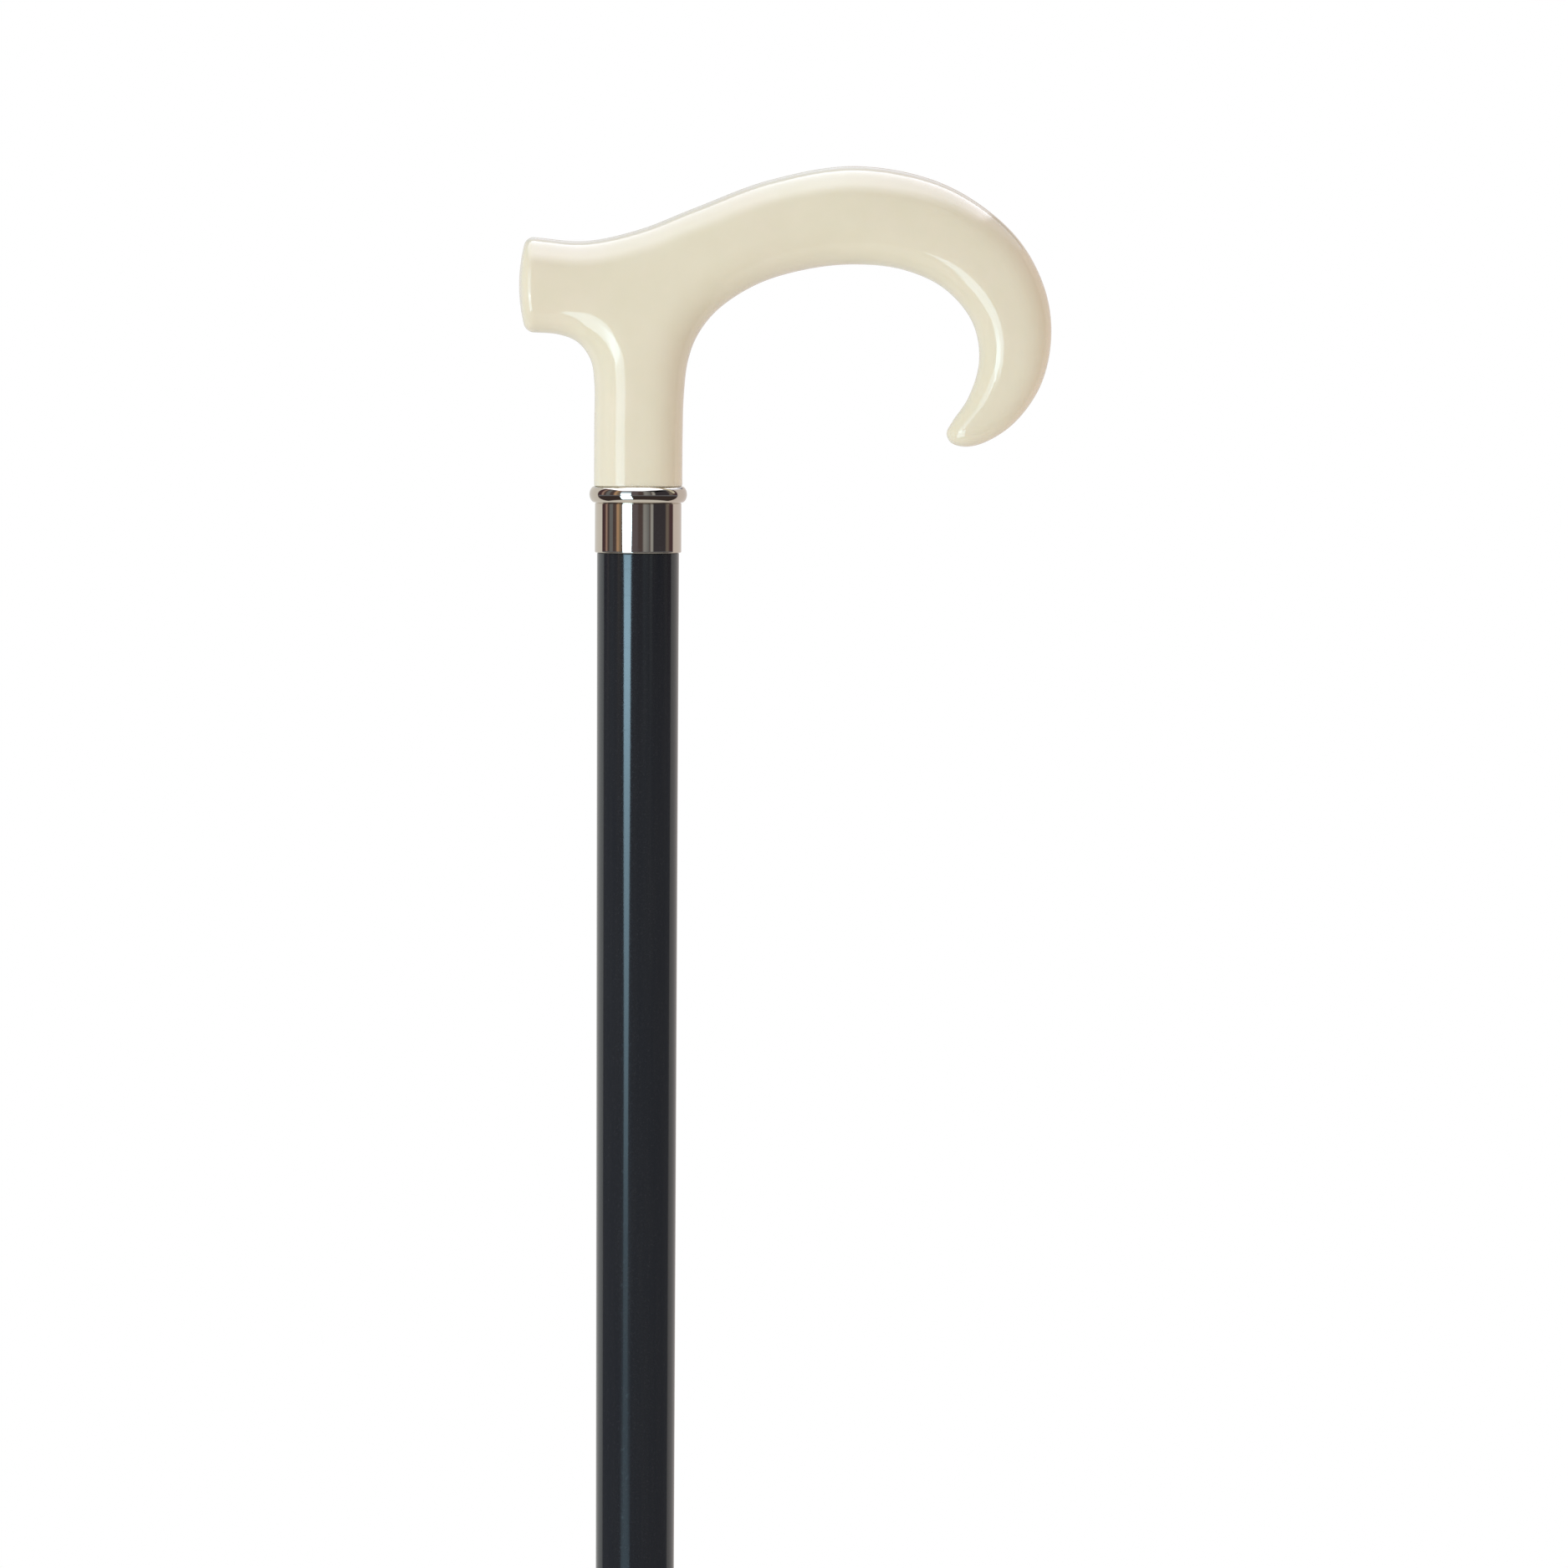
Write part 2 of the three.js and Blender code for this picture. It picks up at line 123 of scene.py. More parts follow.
def objectPlace(tree):
    return addNode(tree, "ShaderNodeTexCoord").outputs["Object"]


def addRamp(tree, value, stops):
    # Stops are (position, color), in order
    ramp = addNode(tree, "ShaderNodeValToRGB", {"Fac": value})
    marks = ramp.color_ramp.elements
    marks[0].position, marks[0].color = stops[0]
    marks[1].position, marks[1].color = stops[-1]
    for position, color in stops[1:-1]:
        marks.new(position).color = color
    return ramp.outputs[0]


def openTree(name, kind, inputs, outputs):
    # Inputs and outputs are labels with the kinds of their sockets
    tree = bpy.data.node_groups.new(name, kind)
    for way, sockets in (("INPUT", inputs), ("OUTPUT", outputs)):
        for label, socket in sockets.items():
            tree.interface.new_socket(label, in_out=way, socket_type="NodeSocket" + socket)
    return tree, tree.nodes.new("NodeGroupInput").outputs, tree.nodes.new("NodeGroupOutput").inputs


# Effects that several finishes share
def tintGroup():
    # One colour clouded with another
    tree, given, result = openTree("cloudedTint", "ShaderNodeTree", {
        "Tint": "Color", "Cloud": "Color", "Scale": "Float", "Stretch": "Vector", "Contrast": "Float",
    }, {"Color": "Color", "Mask": "Float"})
    middle, reach = 0.5, 0.25        # of the noise, and of the step through it at contrast 1
    place = mapped(tree, objectPlace(tree), Scale=given["Stretch"])
    clouds = noise(tree, place, given["Scale"], detail=3.0, roughness=0.55)
    spread = product(tree, given["Contrast"], reach)
    mask = rise(tree, clouds, maths(tree, "SUBTRACT", middle, spread), maths(tree, "ADD", middle, spread),
                interpolation_type="SMOOTHSTEP")
    fillSockets(tree, result, {"Color": blend(tree, mask, given["Tint"], given["Cloud"]), "Mask": mask})
    return tree


def scratchGroup():
    # Hair-thin scratches in two directions, with clean patches between them
    tree, given, result = openTree("hairScratches", "ShaderNodeTree", {
        "Scale": "Float", "Roughness": "Float", "Haze": "Float",
    }, {"Roughness": "Float", "Height": "Float"})
    directions = [((0.4, 0.2, 0.3), (1, 0.02, 1)), ((1.3, 0.9, 2.1), (0.03, 1, 1))]
    faintest, deepest, patchScale = 0.62, 0.78, 45.0
    marks = []
    place = objectPlace(tree)
    for angles, squeeze in directions:
        along = mapped(tree, place, Rotation=angles, Scale=squeeze)
        lines = noise(tree, along, given["Scale"], detail=2.0, roughness=0.7)
        marks.append(rise(tree, lines, faintest, deepest))
    patchy = noise(tree, place, patchScale, detail=2.0)
    shown = product(tree, maths(tree, "MAXIMUM", *marks), patchy)
    rough = maths(tree, "MULTIPLY_ADD", shown, given["Haze"], given["Roughness"])
    fillSockets(tree, result, {"Roughness": rough, "Height": shown})
    return tree


def dustGroup():
    # Specks of dust, more of them on faces that look up
    tree, given, result = openTree("fineDust", "ShaderNodeTree", {
        "Color": "Color", "Dust": "Color", "Amount": "Float", "Scale": "Float",
    }, {"Color": "Color", "Mask": "Float"})
    thin, thick = 0.56, 0.74
    onSides, more = 0.6, 0.4         # shares on upright faces, and added on level ones
    specks = noise(tree, objectPlace(tree), given["Scale"], detail=3.0, roughness=0.6)
    facing = axesOf(tree, addNode(tree, "ShaderNodeNewGeometry").outputs["Normal"])["Z"]
    mask = product(tree, rise(tree, specks, thin, thick),
                   maths(tree, "MULTIPLY_ADD", facing, more, onSides), given["Amount"])
    fillSockets(tree, result, {"Color": blend(tree, mask, given["Color"], given["Dust"]), "Mask": mask})
    return tree


def wearGroup():
    # Sharp edges rubbed to another colour, in patches
    tree, given, result = openTree("rubbedEdges", "ShaderNodeTree", {
        "Color": "Color", "Rubbed": "Color", "Amount": "Float",
    }, {"Color": "Color", "Mask": "Float"})
    blunt, sharp, patchScale = 0.515, 0.58, 260.0
    edge = rise(tree, addNode(tree, "ShaderNodeNewGeometry").outputs["Pointiness"], blunt, sharp)
    patchy = noise(tree, objectPlace(tree), patchScale, detail=3.0)
    mask = product(tree, edge, patchy, given["Amount"])
    fillSockets(tree, result, {"Color": blend(tree, mask, given["Color"], given["Rubbed"]), "Mask": mask})
    return tree


def turningGroup():
    # Fine rings from the lathe, a pitch in millimetres apart
    tree, given, result = openTree("turningMarks", "ShaderNodeTree", {
        "Pitch": "Float", "Roughness": "Float", "Spread": "Float",
    }, {"Roughness": "Float", "Height": "Float"})
    sideways = 12.0                  # scale across the axis, so that the rings waver a little
    squeeze = vector(tree, X=sideways, Y=sideways, Z=maths(tree, "DIVIDE", 1 / mm, given["Pitch"]))
    lines = noise(tree, mapped(tree, objectPlace(tree), Scale=squeeze), 1.0, detail=2.0)
    rough = maths(tree, "MULTIPLY_ADD", lines, given["Spread"], given["Roughness"])
    fillSockets(tree, result, {"Roughness": rough, "Height": lines})
    return tree


cloudedTint = tintGroup()
hairScratches = scratchGroup()
fineDust = dustGroup()
rubbedEdges = wearGroup()
turningMarks = turningGroup()
print("shader groups built")


def makeFinish(name, look):
    finish = bpy.data.materials.new(name)
    finish.use_nodes = True
    tree = finish.node_tree
    shader = next(node for node in tree.nodes if node.type == "BSDF_PRINCIPLED")

    def layer(group, **values):
        return addNode(tree, "ShaderNodeGroup", values, node_tree=group).outputs

    color = look["tint"]
    for cloud in look["clouds"]:
        tinted = layer(cloudedTint, **{"Tint": color, "Stretch": (1, 1, 1), **cloud})
        color = tinted["Color"]
    if "rubbed" in look:
        color = layer(rubbedEdges, Color=color, **look["rubbed"])["Color"]
    if "dust" in look:
        dusty = layer(fineDust, Color=color, **look["dust"])
        color = dusty["Color"]
    if "pebble" in look:
        height = noise(tree, objectPlace(tree), look["pebble"], detail=2.0)
        rough = maths(tree, "MULTIPLY_ADD", dusty["Mask"], look["dustRoughness"], look["roughness"])
    else:
        group, values = look["marks"]
        marks = layer(group, **values)
        rough = marks["Roughness"]
        height = tinted["Mask"] if "grainRelief" in look else marks["Height"]
    bump = outputOf(tree, "ShaderNodeBump", {"Height": height, **look["bump"]})
    fillSockets(tree, shader.inputs, {
        "Base Color": color, "Roughness": rough, "Normal": bump, **look["shader"],
    })
    return finish


# What each finish is made of; the names inside its parts are those of the sockets that they fill
acrylic = {
    "tint": (0.79, 0.745, 0.595, 1),
    "clouds": [
        {"Cloud": (0.775, 0.705, 0.575, 1), "Scale": 26.0, "Contrast": 1.2},
        {"Cloud": (0.73, 0.69, 0.53, 1), "Scale": 95.0, "Contrast": 2.6},
    ],
    "marks": (hairScratches, {"Scale": 700.0, "Roughness": 0.07, "Haze": 0.06}),
    "bump": {"Strength": 0.12, "Distance": 0.02 * mm},
    "shader": {
        "IOR": 1.49, "Subsurface Weight": 0.12, "Subsurface Scale": 4.0 * mm,
        "Subsurface Radius": (1.0, 0.75, 0.5),
    },
}
nickel = {
    "tint": (0.66, 0.61, 0.53, 1),
    "clouds": [{"Cloud": (0.63, 0.57, 0.49, 1), "Scale": 180.0, "Contrast": 1.5}],
    "marks": (hairScratches, {"Scale": 1600.0, "Roughness": 0.035, "Haze": 0.07}),
    "bump": {"Strength": 0.1, "Distance": 0.01 * mm},
    "shader": {"Metallic": 1.0},
}
lacquer = {
    "tint": (0.0105, 0.011, 0.0145, 1),
    "clouds": [{
        "Cloud": (0.015, 0.015, 0.0175, 1), "Scale": 900.0, "Contrast": 1.6, "Stretch": (1, 1, 0.035),
    }],
    "dust": {"Dust": (0.3, 0.3, 0.31, 1), "Amount": 0.05, "Scale": 1900.0},
    "marks": (hairScratches, {"Scale": 800.0, "Roughness": 0.1, "Haze": 0.12}),
    "grainRelief": True,     # the wood's grain shows through as relief, and not the scratches
    "bump": {"Strength": 0.08, "Distance": 0.02 * mm},
    "shader": {"IOR": 1.58, "Specular Tint": (0.86, 1.0, 1.0, 1)},
}
rubber = {
    "tint": (0.027, 0.027, 0.028, 1),
    "clouds": [{"Cloud": (0.042, 0.041, 0.04, 1), "Scale": 120.0, "Contrast": 1.4}],
    "rubbed": {"Rubbed": (0.085, 0.083, 0.08, 1), "Amount": 0.8},
    "dust": {"Dust": (0.3, 0.28, 0.25, 1), "Amount": 0.16, "Scale": 1300.0},
    "roughness": 0.6,
    "dustRoughness": 0.5,    # added where dust lies
    "pebble": 1500.0,        # scale of the fine relief
    "bump": {"Strength": 0.35, "Distance": 0.08 * mm},
    "shader": {"Specular IOR Level": 0.4},
}
brass = {
    "tint": (0.79, 0.58, 0.27, 1),
    "clouds": [{"Cloud": (0.5, 0.35, 0.16, 1), "Scale": 260.0, "Contrast": 2.0}],
    "rubbed": {"Rubbed": (0.88, 0.7, 0.4, 1), "Amount": 1.0},
    "marks": (turningMarks, {"Pitch": 0.15, "Roughness": 0.2, "Spread": 0.2}),
    "bump": {"Strength": 0.3, "Distance": 0.03 * mm},
    "shader": {"Metallic": 1.0},
}
steel = {
    "tint": (0.56, 0.57, 0.58, 1),
    "clouds": [{"Cloud": (0.44, 0.45, 0.47, 1), "Scale": 420.0, "Contrast": 1.2}],
    "rubbed": {"Rubbed": (0.7, 0.7, 0.7, 1), "Amount": 0.8},
    "marks": (turningMarks, {"Pitch": 0.25, "Roughness": 0.28, "Spread": 0.18}),
    "bump": {"Strength": 0.25, "Distance": 0.03 * mm},
    "shader": {"Metallic": 1.0},
}

creamAcrylic = makeFinish("creamAcrylic", acrylic)
polishedNickel = makeFinish("polishedNickel", nickel)
blackLacquer = makeFinish("blackLacquer", lacquer)
mouldedRubber = makeFinish("mouldedRubber", rubber)
turnedBrass = makeFinish("turnedBrass", brass)
zincSteel = makeFinish("zincSteel", steel)
print("finishes built")


# Geometry trees
def closeTree(tree, geometry, given, result):
    real = outputOf(tree, "GeometryNodeRealizeInstances", {"Geometry": geometry})
    smooth = outputOf(tree, "GeometryNodeSetShadeSmooth", {"Geometry": real})
    finished = outputOf(tree, "GeometryNodeSetMaterial", {"Geometry": smooth, "Material": given["Finish"]})
    tree.links.new(finished, result["Geometry"])
    return tree


def swept(tree, curve, corners, width, height, **more):
    # Runs an oval section, or one with few corners, along a curve without letting it lean
    upright = outputOf(tree, "GeometryNodeSetCurveNormal", {"Curve": curve}, mode="Z_UP")
    section = outputOf(tree, "GeometryNodeCurvePrimitiveCircle", {"Resolution": corners, "Radius": 1.0})
    sized = outputOf(tree, "GeometryNodeTransform", {
        "Geometry": section, "Scale": vector(tree, X=width, Y=height, Z=1.0),
    })
    return outputOf(tree, "GeometryNodeCurveToMesh", {"Curve": upright, "Profile Curve": sized, **more})


def raised(tree, geometry, height):
    return outputOf(tree, "GeometryNodeTransform", {
        "Geometry": geometry, "Translation": vector(tree, Z=height),
    })


def turnedTree():
    # Turns a profile of points (radius, 0, height) that runs up the outside round the Z axis
    tree, given, result = openTree("turnedPiece", "GeometryNodeTree", {
        "Profile": "Geometry", "Segments": "Int", "Finish": "Material",
    }, {"Geometry": "Geometry"})
    count = addNode(tree, "GeometryNodeAttributeDomainSize", {
        "Geometry": given["Profile"],
    }, component="MESH")
    columns = maths(tree, "ADD", given["Segments"], 1.0)
    grid = outputOf(tree, "GeometryNodeMeshGrid", {
        "Vertices X": count.outputs["Point Count"], "Vertices Y": columns,
    })
    # Half a point keeps the division clear of whole numbers
    index = outputOf(tree, "GeometryNodeInputIndex")
    ring = maths(tree, "FLOOR", maths(tree, "DIVIDE", maths(tree, "ADD", index, 0.5), columns))
    column = maths(tree, "SUBTRACT", index, product(tree, ring, columns))
    angle = product(tree, maths(tree, "DIVIDE", column, given["Segments"]), 2 * math.pi)
    sample = addNode(tree, "GeometryNodeSampleIndex", {
        "Geometry": given["Profile"], "Index": ring,
    }, data_type="FLOAT_VECTOR")
    tree.links.new(outputOf(tree, "GeometryNodeInputPosition"), sample.inputs["Value"])
    corner = axesOf(tree, sample.outputs[0])
    place = vector(tree, X=product(tree, corner["X"], maths(tree, "COSINE", angle)),
                   Y=product(tree, corner["X"], maths(tree, "SINE", angle)), Z=corner["Z"])
    turned = outputOf(tree, "GeometryNodeSetPosition", {"Geometry": grid, "Position": place})
    closed = outputOf(tree, "GeometryNodeMergeByDistance", {"Geometry": turned, "Distance": 1e-6})
    return closeTree(tree, outputOf(tree, "GeometryNodeFlipFaces", {"Mesh": closed}), given, result)


def ringTree():
    # A stack of equal rings of oval section
    tree, given, result = openTree("ringStack", "GeometryNodeTree", {
        "Radius": "Float", "Section Width": "Float", "Section Height": "Float", "First Height": "Float",
        "Pitch": "Float", "Count": "Int", "Finish": "Material",
    }, {"Geometry": "Geometry"})
    circle = outputOf(tree, "GeometryNodeCurvePrimitiveCircle", {
        "Resolution": 96, "Radius": given["Radius"],
    })
    ring = swept(tree, circle, corners=16, width=given["Section Width"], height=given["Section Height"])
    line = outputOf(tree, "GeometryNodeMeshLine", {
        "Count": given["Count"], "Start Location": vector(tree, Z=given["First Height"]),
        "Offset": vector(tree, Z=given["Pitch"]),
    })
    rings = outputOf(tree, "GeometryNodeInstanceOnPoints", {"Points": line, "Instance": ring})
    return closeTree(tree, rings, given, result)


def webTree():
    # Small radial blocks spaced evenly round the Z axis
    tree, given, result = openTree("radialWebs", "GeometryNodeTree", {
        "Radius": "Float", "Height": "Float", "Size": "Vector", "Count": "Int", "Finish": "Material",
    }, {"Geometry": "Geometry"})
    circle = outputOf(tree, "GeometryNodeMeshCircle", {
        "Vertices": given["Count"], "Radius": given["Radius"],
    })
    outward = outputOf(tree, "FunctionNodeAlignRotationToVector", {
        "Vector": outputOf(tree, "GeometryNodeInputPosition"),
    }, axis="X")
    blocks = outputOf(tree, "GeometryNodeInstanceOnPoints", {
        "Points": circle, "Instance": outputOf(tree, "GeometryNodeMeshCube", {"Size": given["Size"]}),
        "Rotation": outward,
    })
    return closeTree(tree, raised(tree, blocks, given["Height"]), given, result)


def threadTree():
    # A ridge of four-sided section that winds up a core, thinning out at both ends
    tree, given, result = openTree("screwThread", "GeometryNodeTree", {
        "Radius": "Float", "Depth": "Float", "Width": "Float", "Pitch": "Float", "Turns": "Float",
        "Bottom": "Float", "Finish": "Material",
    }, {"Geometry": "Geometry"})
    sunk = 0.7                       # more than half of the depth, so that it reaches into the core
    thinnest = 0.15                  # share of its size that is left at its ends
    halfDepth = product(tree, given["Depth"], sunk)
    middle = maths(tree, "SUBTRACT", given["Radius"], halfDepth)
    spiral = outputOf(tree, "GeometryNodeCurveSpiral", {
        "Resolution": 36, "Rotations": given["Turns"], "Start Radius": middle, "End Radius": middle,
        "Height": product(tree, given["Pitch"], given["Turns"]),
    })
    along = addNode(tree, "GeometryNodeSplineParameter").outputs["Factor"]
    fromEnd = maths(tree, "MINIMUM", along, maths(tree, "SUBTRACT", 1.0, along))
    fade = maths(tree, "MINIMUM", maths(tree, "MULTIPLY_ADD", fromEnd, given["Turns"], thinnest), 1.0)
    thread = swept(tree, spiral, corners=4, width=halfDepth, height=product(tree, given["Width"], 0.5),
                   **{"Scale": fade, "Fill Caps": True})
    return closeTree(tree, raised(tree, thread, given["Bottom"]), given, result)


turnedPiece = turnedTree()
ringStack = ringTree()
radialWebs = webTree()
screwThread = threadTree()


def addPiece(name, data):
    piece = bpy.data.objects.new(name, data)
    scene.collection.objects.link(piece)
    return piece


def runTree(name, tree, values, mesh=None):
    piece = addPiece(name, mesh or bpy.data.meshes.new(name))
    modifier = piece.modifiers.new("build", "NODES")
    modifier.node_group = tree
    for item in tree.interface.items_tree:
        if item.in_out == "INPUT" and item.name in values:
            modifier[item.identifier] = values[item.name]
    ready = piece.evaluated_get(bpy.context.evaluated_depsgraph_get())
    plain = bpy.data.meshes.new_from_object(ready)
    piece.modifiers.clear()
    piece.data = plain
    plain.name = name
    return piece


def rounded(corners, hold=0.15, steps=6, most=0.45):
    # Corners are (radius, height, rounding). Each rounding is kept by a point just before and after it,
    # and takes no more than a share of the sides that it joins.
    points = []
    for index, (radius, height, rounding) in enumerate(corners):
        corner = Vector((radius, height))
        if rounding == 0 or index in (0, len(corners) - 1):
            points.append(corner)
            continue
        back = Vector(corners[index - 1][:2]) - corner
        ahead = Vector(corners[index + 1][:2]) - corner
        toBack, toAhead = back.normalized(), ahead.normalized()
        half = back.angle(ahead) / 2
        reach = min(rounding / math.tan(half), most * back.length, most * ahead.length)
        centre = corner + (toBack + toAhead).normalized() * reach / math.cos(half)
        start = corner + toBack * reach - centre
        end = corner + toAhead * reach - centre
        if reach + hold < back.length / 2:
            points.append(corner + toBack * (reach + hold))
        sweep = start.angle(end)
        for step in range(steps + 1):
            share = step / steps
            points.append(centre + (start * math.sin((1 - share) * sweep) + end * math.sin(share * sweep))
                          / math.sin(sweep))
        if reach + hold < ahead.length / 2:
            points.append(corner + toAhead * (reach + hold))
    return [tuple(point) for point in points]


def turnProfile(name, profile, finish, segments=128):
    # Turns a profile of points (radius, height) round the cane's axis
    mesh = bpy.data.meshes.new(name)
    corners = [(radius * mm, 0, height * mm) for radius, height in profile]
    mesh.from_pydata(corners, [(at, at + 1) for at in range(len(corners) - 1)], [])
    return runTree(name, turnedPiece, {"Segments": segments, "Finish": finish}, mesh)


def joined(name, parts):
    # One object with the meshes of all parts, which share a finish
    mesh = bmesh.new()
    for part in parts:
        mesh.from_mesh(part.data)
    whole = parts[0]
    mesh.to_mesh(whole.data)
    mesh.free()
    for part in parts[1:]:
        bpy.data.objects.remove(part)
    whole.name = name
    return whole


def fitPiece(piece, body, slot, *nodes):
    # Shows the piece in place of the plain nodes
    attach(piece, body)
    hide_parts(*nodes)


handle = {
    "rise": 78.1,            # collar's top edge to the crown of the grip
    "gripThickness": 23.9,
    "hookReach": 100.6,
    "hookThickness": 17.6,
    "noseReach": 29.2,
    "noseThickness": 23.2,
    "noseDome": 1.7,         # bulge of the end face
    "noseEdge": 1.9,
    "noseTopShare": 0.775,   # of the rise
    "stemSide": 10.8,        # half of the stem's width in the side view
    "gripWidth": 22.6,
    "stemDepthShare": 0.97,  # half of the stem's width across, as a share of stemSide
    "roundDepth": 12.0,      # the section reaches its full width this deep in, or sooner
    "roundShare": 0.92,      # of the depth of the grip's middle line
    "power": 2.4,            # of the section: 2 is an ellipse, more is squarer
    "blend": 9.0,            # reach of each station of the section over its neighbours
    "lineSteps": 24,         # of the outline between two of its points
    "creaseBlur": 1.2,       # along the middle line of the slim hook
    "creaseFrom": 0.5,       # depth under the surface where the blur sets in
    "creaseFade": 2.0,
    "footEdge": 0.35,        # rounding where the stem meets the collar
    "footSteps": 5,
    "seatCorner": 0.1,
    "spigotBevel": 0.4,
    "boreBevel": 0.3,
    "boreRadius": 5.55,
    "boreTop": 23.3,
    "cell": 0.62,
}
# Side outline as shares of the sizes above, as in the model
backShares = [(0, 0.38), (0, 0.67), (0.05, 0.823), (0.217, 0.936), (0.451, 0.985), (0.793, 1), (1.86, 0.992)]
noseShares = [(1.54, 0.8), (0.87, 0.775), (0.445, 0.764)]
outerShares = [(0, 0.8), (0.134, 0.868), (0.316, 0.956), (0.53, 1), (0.742, 0.943), (0.905, 0.795),
               (0.98, 0.634), (1, 0.478), (0.975, 0.32), (0.91, 0.2), (0.835, 0.138)]
innerShares = [(0.949, 0.183), (0.906, 0.201), (0.891, 0.243), (0.911, 0.297), (0.964, 0.404), (1, 0.573),
               (0.976, 0.743), (0.882, 0.892), (0.744, 0.976), (0.575, 1), (0.405, 0.974), (0.248, 0.908),
               (0.117, 0.794), (0.05, 0.681), (0.018, 0.568), (0.004, 0.418), (0, 0.22)]
# Stations of the section: places along the grip with the share of its width there, and heights in the stem
gripShares = [(-0.28, 0.63, 0.87), (-0.15, 0.61, 0.9), (0, 0.6, 0.93), (0.15, 0.71, 0.95), (0.32, 0.8, 0.98),
              (0.52, 0.85, 1), (0.7, 0.81, 0.98), (0.83, 0.7, 0.92), (0.9, 0.55, 0.82), (0.91, 0.42, 0.74),
              (0.885, 0.31, 0.65), (0.835, 0.22, 0.53), (0.79, 0.165, 0.42)]
stemShares = [-0.1, 0.1, 0.3]


def smoothLine(points, steps):
    # Centripetal curve through the points
    points = np.array(points, float)
    ends = np.vstack([2 * points[0] - points[1], points, 2 * points[-1] - points[-2]])
    share = np.linspace(0, 1, steps, endpoint=False)[:, None]
    runs = []
    for a, b, c, d in zip(ends, ends[1:], ends[2:], ends[3:]):
        before, here, after = (np.linalg.norm(q - p) ** 0.5 for p, q in ((a, b), (b, c), (c, d)))
        leave = ((b - a) / before - (c - a) / (before + here) + (c - b) / here) * here
        arrive = ((c - b) / here - (d - b) / (here + after) + (d - c) / after) * here
        runs.append(b + leave * share + (3 * (c - b) - 2 * leave - arrive) * share ** 2
                    + (2 * (b - c) + leave + arrive) * share ** 3)
    return np.vstack(runs + [points[-1:]])


def sideOutline():
    side, reach, crown = handle["stemSide"], handle["hookReach"], handle["rise"]
    gapReach = reach - handle["hookThickness"]
    arch = crown - handle["gripThickness"]
    under = crown * handle["noseTopShare"] - handle["noseThickness"]
    overhang = handle["noseReach"] - side
    back = [(-side, -2 * side)] + [(-side - x * overhang, z * under) for x, z in backShares]
    front = [(-x * handle["noseReach"], z * crown) for x, z in noseShares]
    front += [(x * reach, z * crown) for x, z in outerShares]
    front += [(side + x * (gapReach - side), z * arch) for x, z in innerShares]
    front += [(side, -2 * side)]
    return np.vstack([smoothLine(line, handle["lineSteps"]) for line in (back, front)])


def signedDepth(outline, x, z, tiny=1e-12):
    # Distance to the closed outline, positive inside it. Sides of no length are passed over.
    nearest = np.full(x.shape, np.inf)
    inside = np.zeros(x.shape, bool)
    for (startX, startZ), (endX, endZ) in zip(outline, np.roll(outline, -1, 0)):
        alongX, alongZ = endX - startX, endZ - startZ
        square = alongX ** 2 + alongZ ** 2
        if square < tiny:
            continue
        fromX, fromZ = x - startX, z - startZ
        share = np.clip((fromX * alongX + fromZ * alongZ) / square, 0, 1)
        nearest = np.minimum(nearest, (fromX - share * alongX) ** 2 + (fromZ - share * alongZ) ** 2)
        if alongZ:
            inside ^= ((startZ > z) != (endZ > z)) & (fromX < fromZ / alongZ * alongX)
    return np.where(inside, 1, -1) * np.sqrt(nearest)


def depthMap(outline, spacing=0.5, margin=4.0):
    low = np.array([-handle["noseReach"], 0]) - margin
    high = np.array([handle["hookReach"], handle["rise"]]) + margin
    counts = np.ceil((high - low) / spacing).astype(int) + 1
    x, z = np.meshgrid(*(low[at] + spacing * np.arange(counts[at]) for at in (0, 1)), indexing="ij")
    depth = signedDepth(outline, x, z)
    # Softened well inside the outline only, where the distance has a crease
    spread = handle["creaseBlur"] / spacing
    weights = np.exp(-0.5 * (np.arange(-math.ceil(3 * spread), math.ceil(3 * spread) + 1) / spread) ** 2)
    soft = depth
    for axis in (0, 1):
        soft = np.apply_along_axis(np.convolve, axis, soft, weights / weights.sum(), mode="same")
    share = np.clip((depth - handle["creaseFrom"]) / handle["creaseFade"], 0, 1)
    return low, spacing, depth + (soft - depth) * share ** 2 * (3 - 2 * share)


def readMap(sheet, x, z):
    # Cubic reading between the map's points
    low, spacing, values = sheet
    cells, weights = [], []
    for along, start, count in ((x, low[0], values.shape[0]), (z, low[1], values.shape[1])):
        at = (along - start) / spacing
        cell = np.clip(np.floor(at).astype(int), 1, count - 3)
        f = at - cell
        cells.append(cell)
        weights.append((-0.5 * f ** 3 + f ** 2 - 0.5 * f, 1.5 * f ** 3 - 2.5 * f ** 2 + 1,
                        -1.5 * f ** 3 + 2 * f ** 2 + 0.5 * f, 0.5 * f ** 3 - 0.5 * f ** 2))
    total = 0
    for i in range(4):
        for j in range(4):
            total = total + weights[0][i] * weights[1][j] * values[cells[0] + i - 1, cells[1] + j - 1]
    return total


def stationTable(outline):
    rows = [(x * handle["hookReach"], z * handle["rise"], width * handle["gripWidth"] / 2)
            for x, z, width in gripShares]
    rows += [(0, z * handle["rise"], handle["stemDepthShare"] * handle["stemSide"]) for z in stemShares]
    x, z, width = np.array(rows).T
    depth = np.minimum(handle["roundDepth"], handle["roundShare"] * signedDepth(outline, x, z))
    return np.stack([x, z, width, depth], 1)


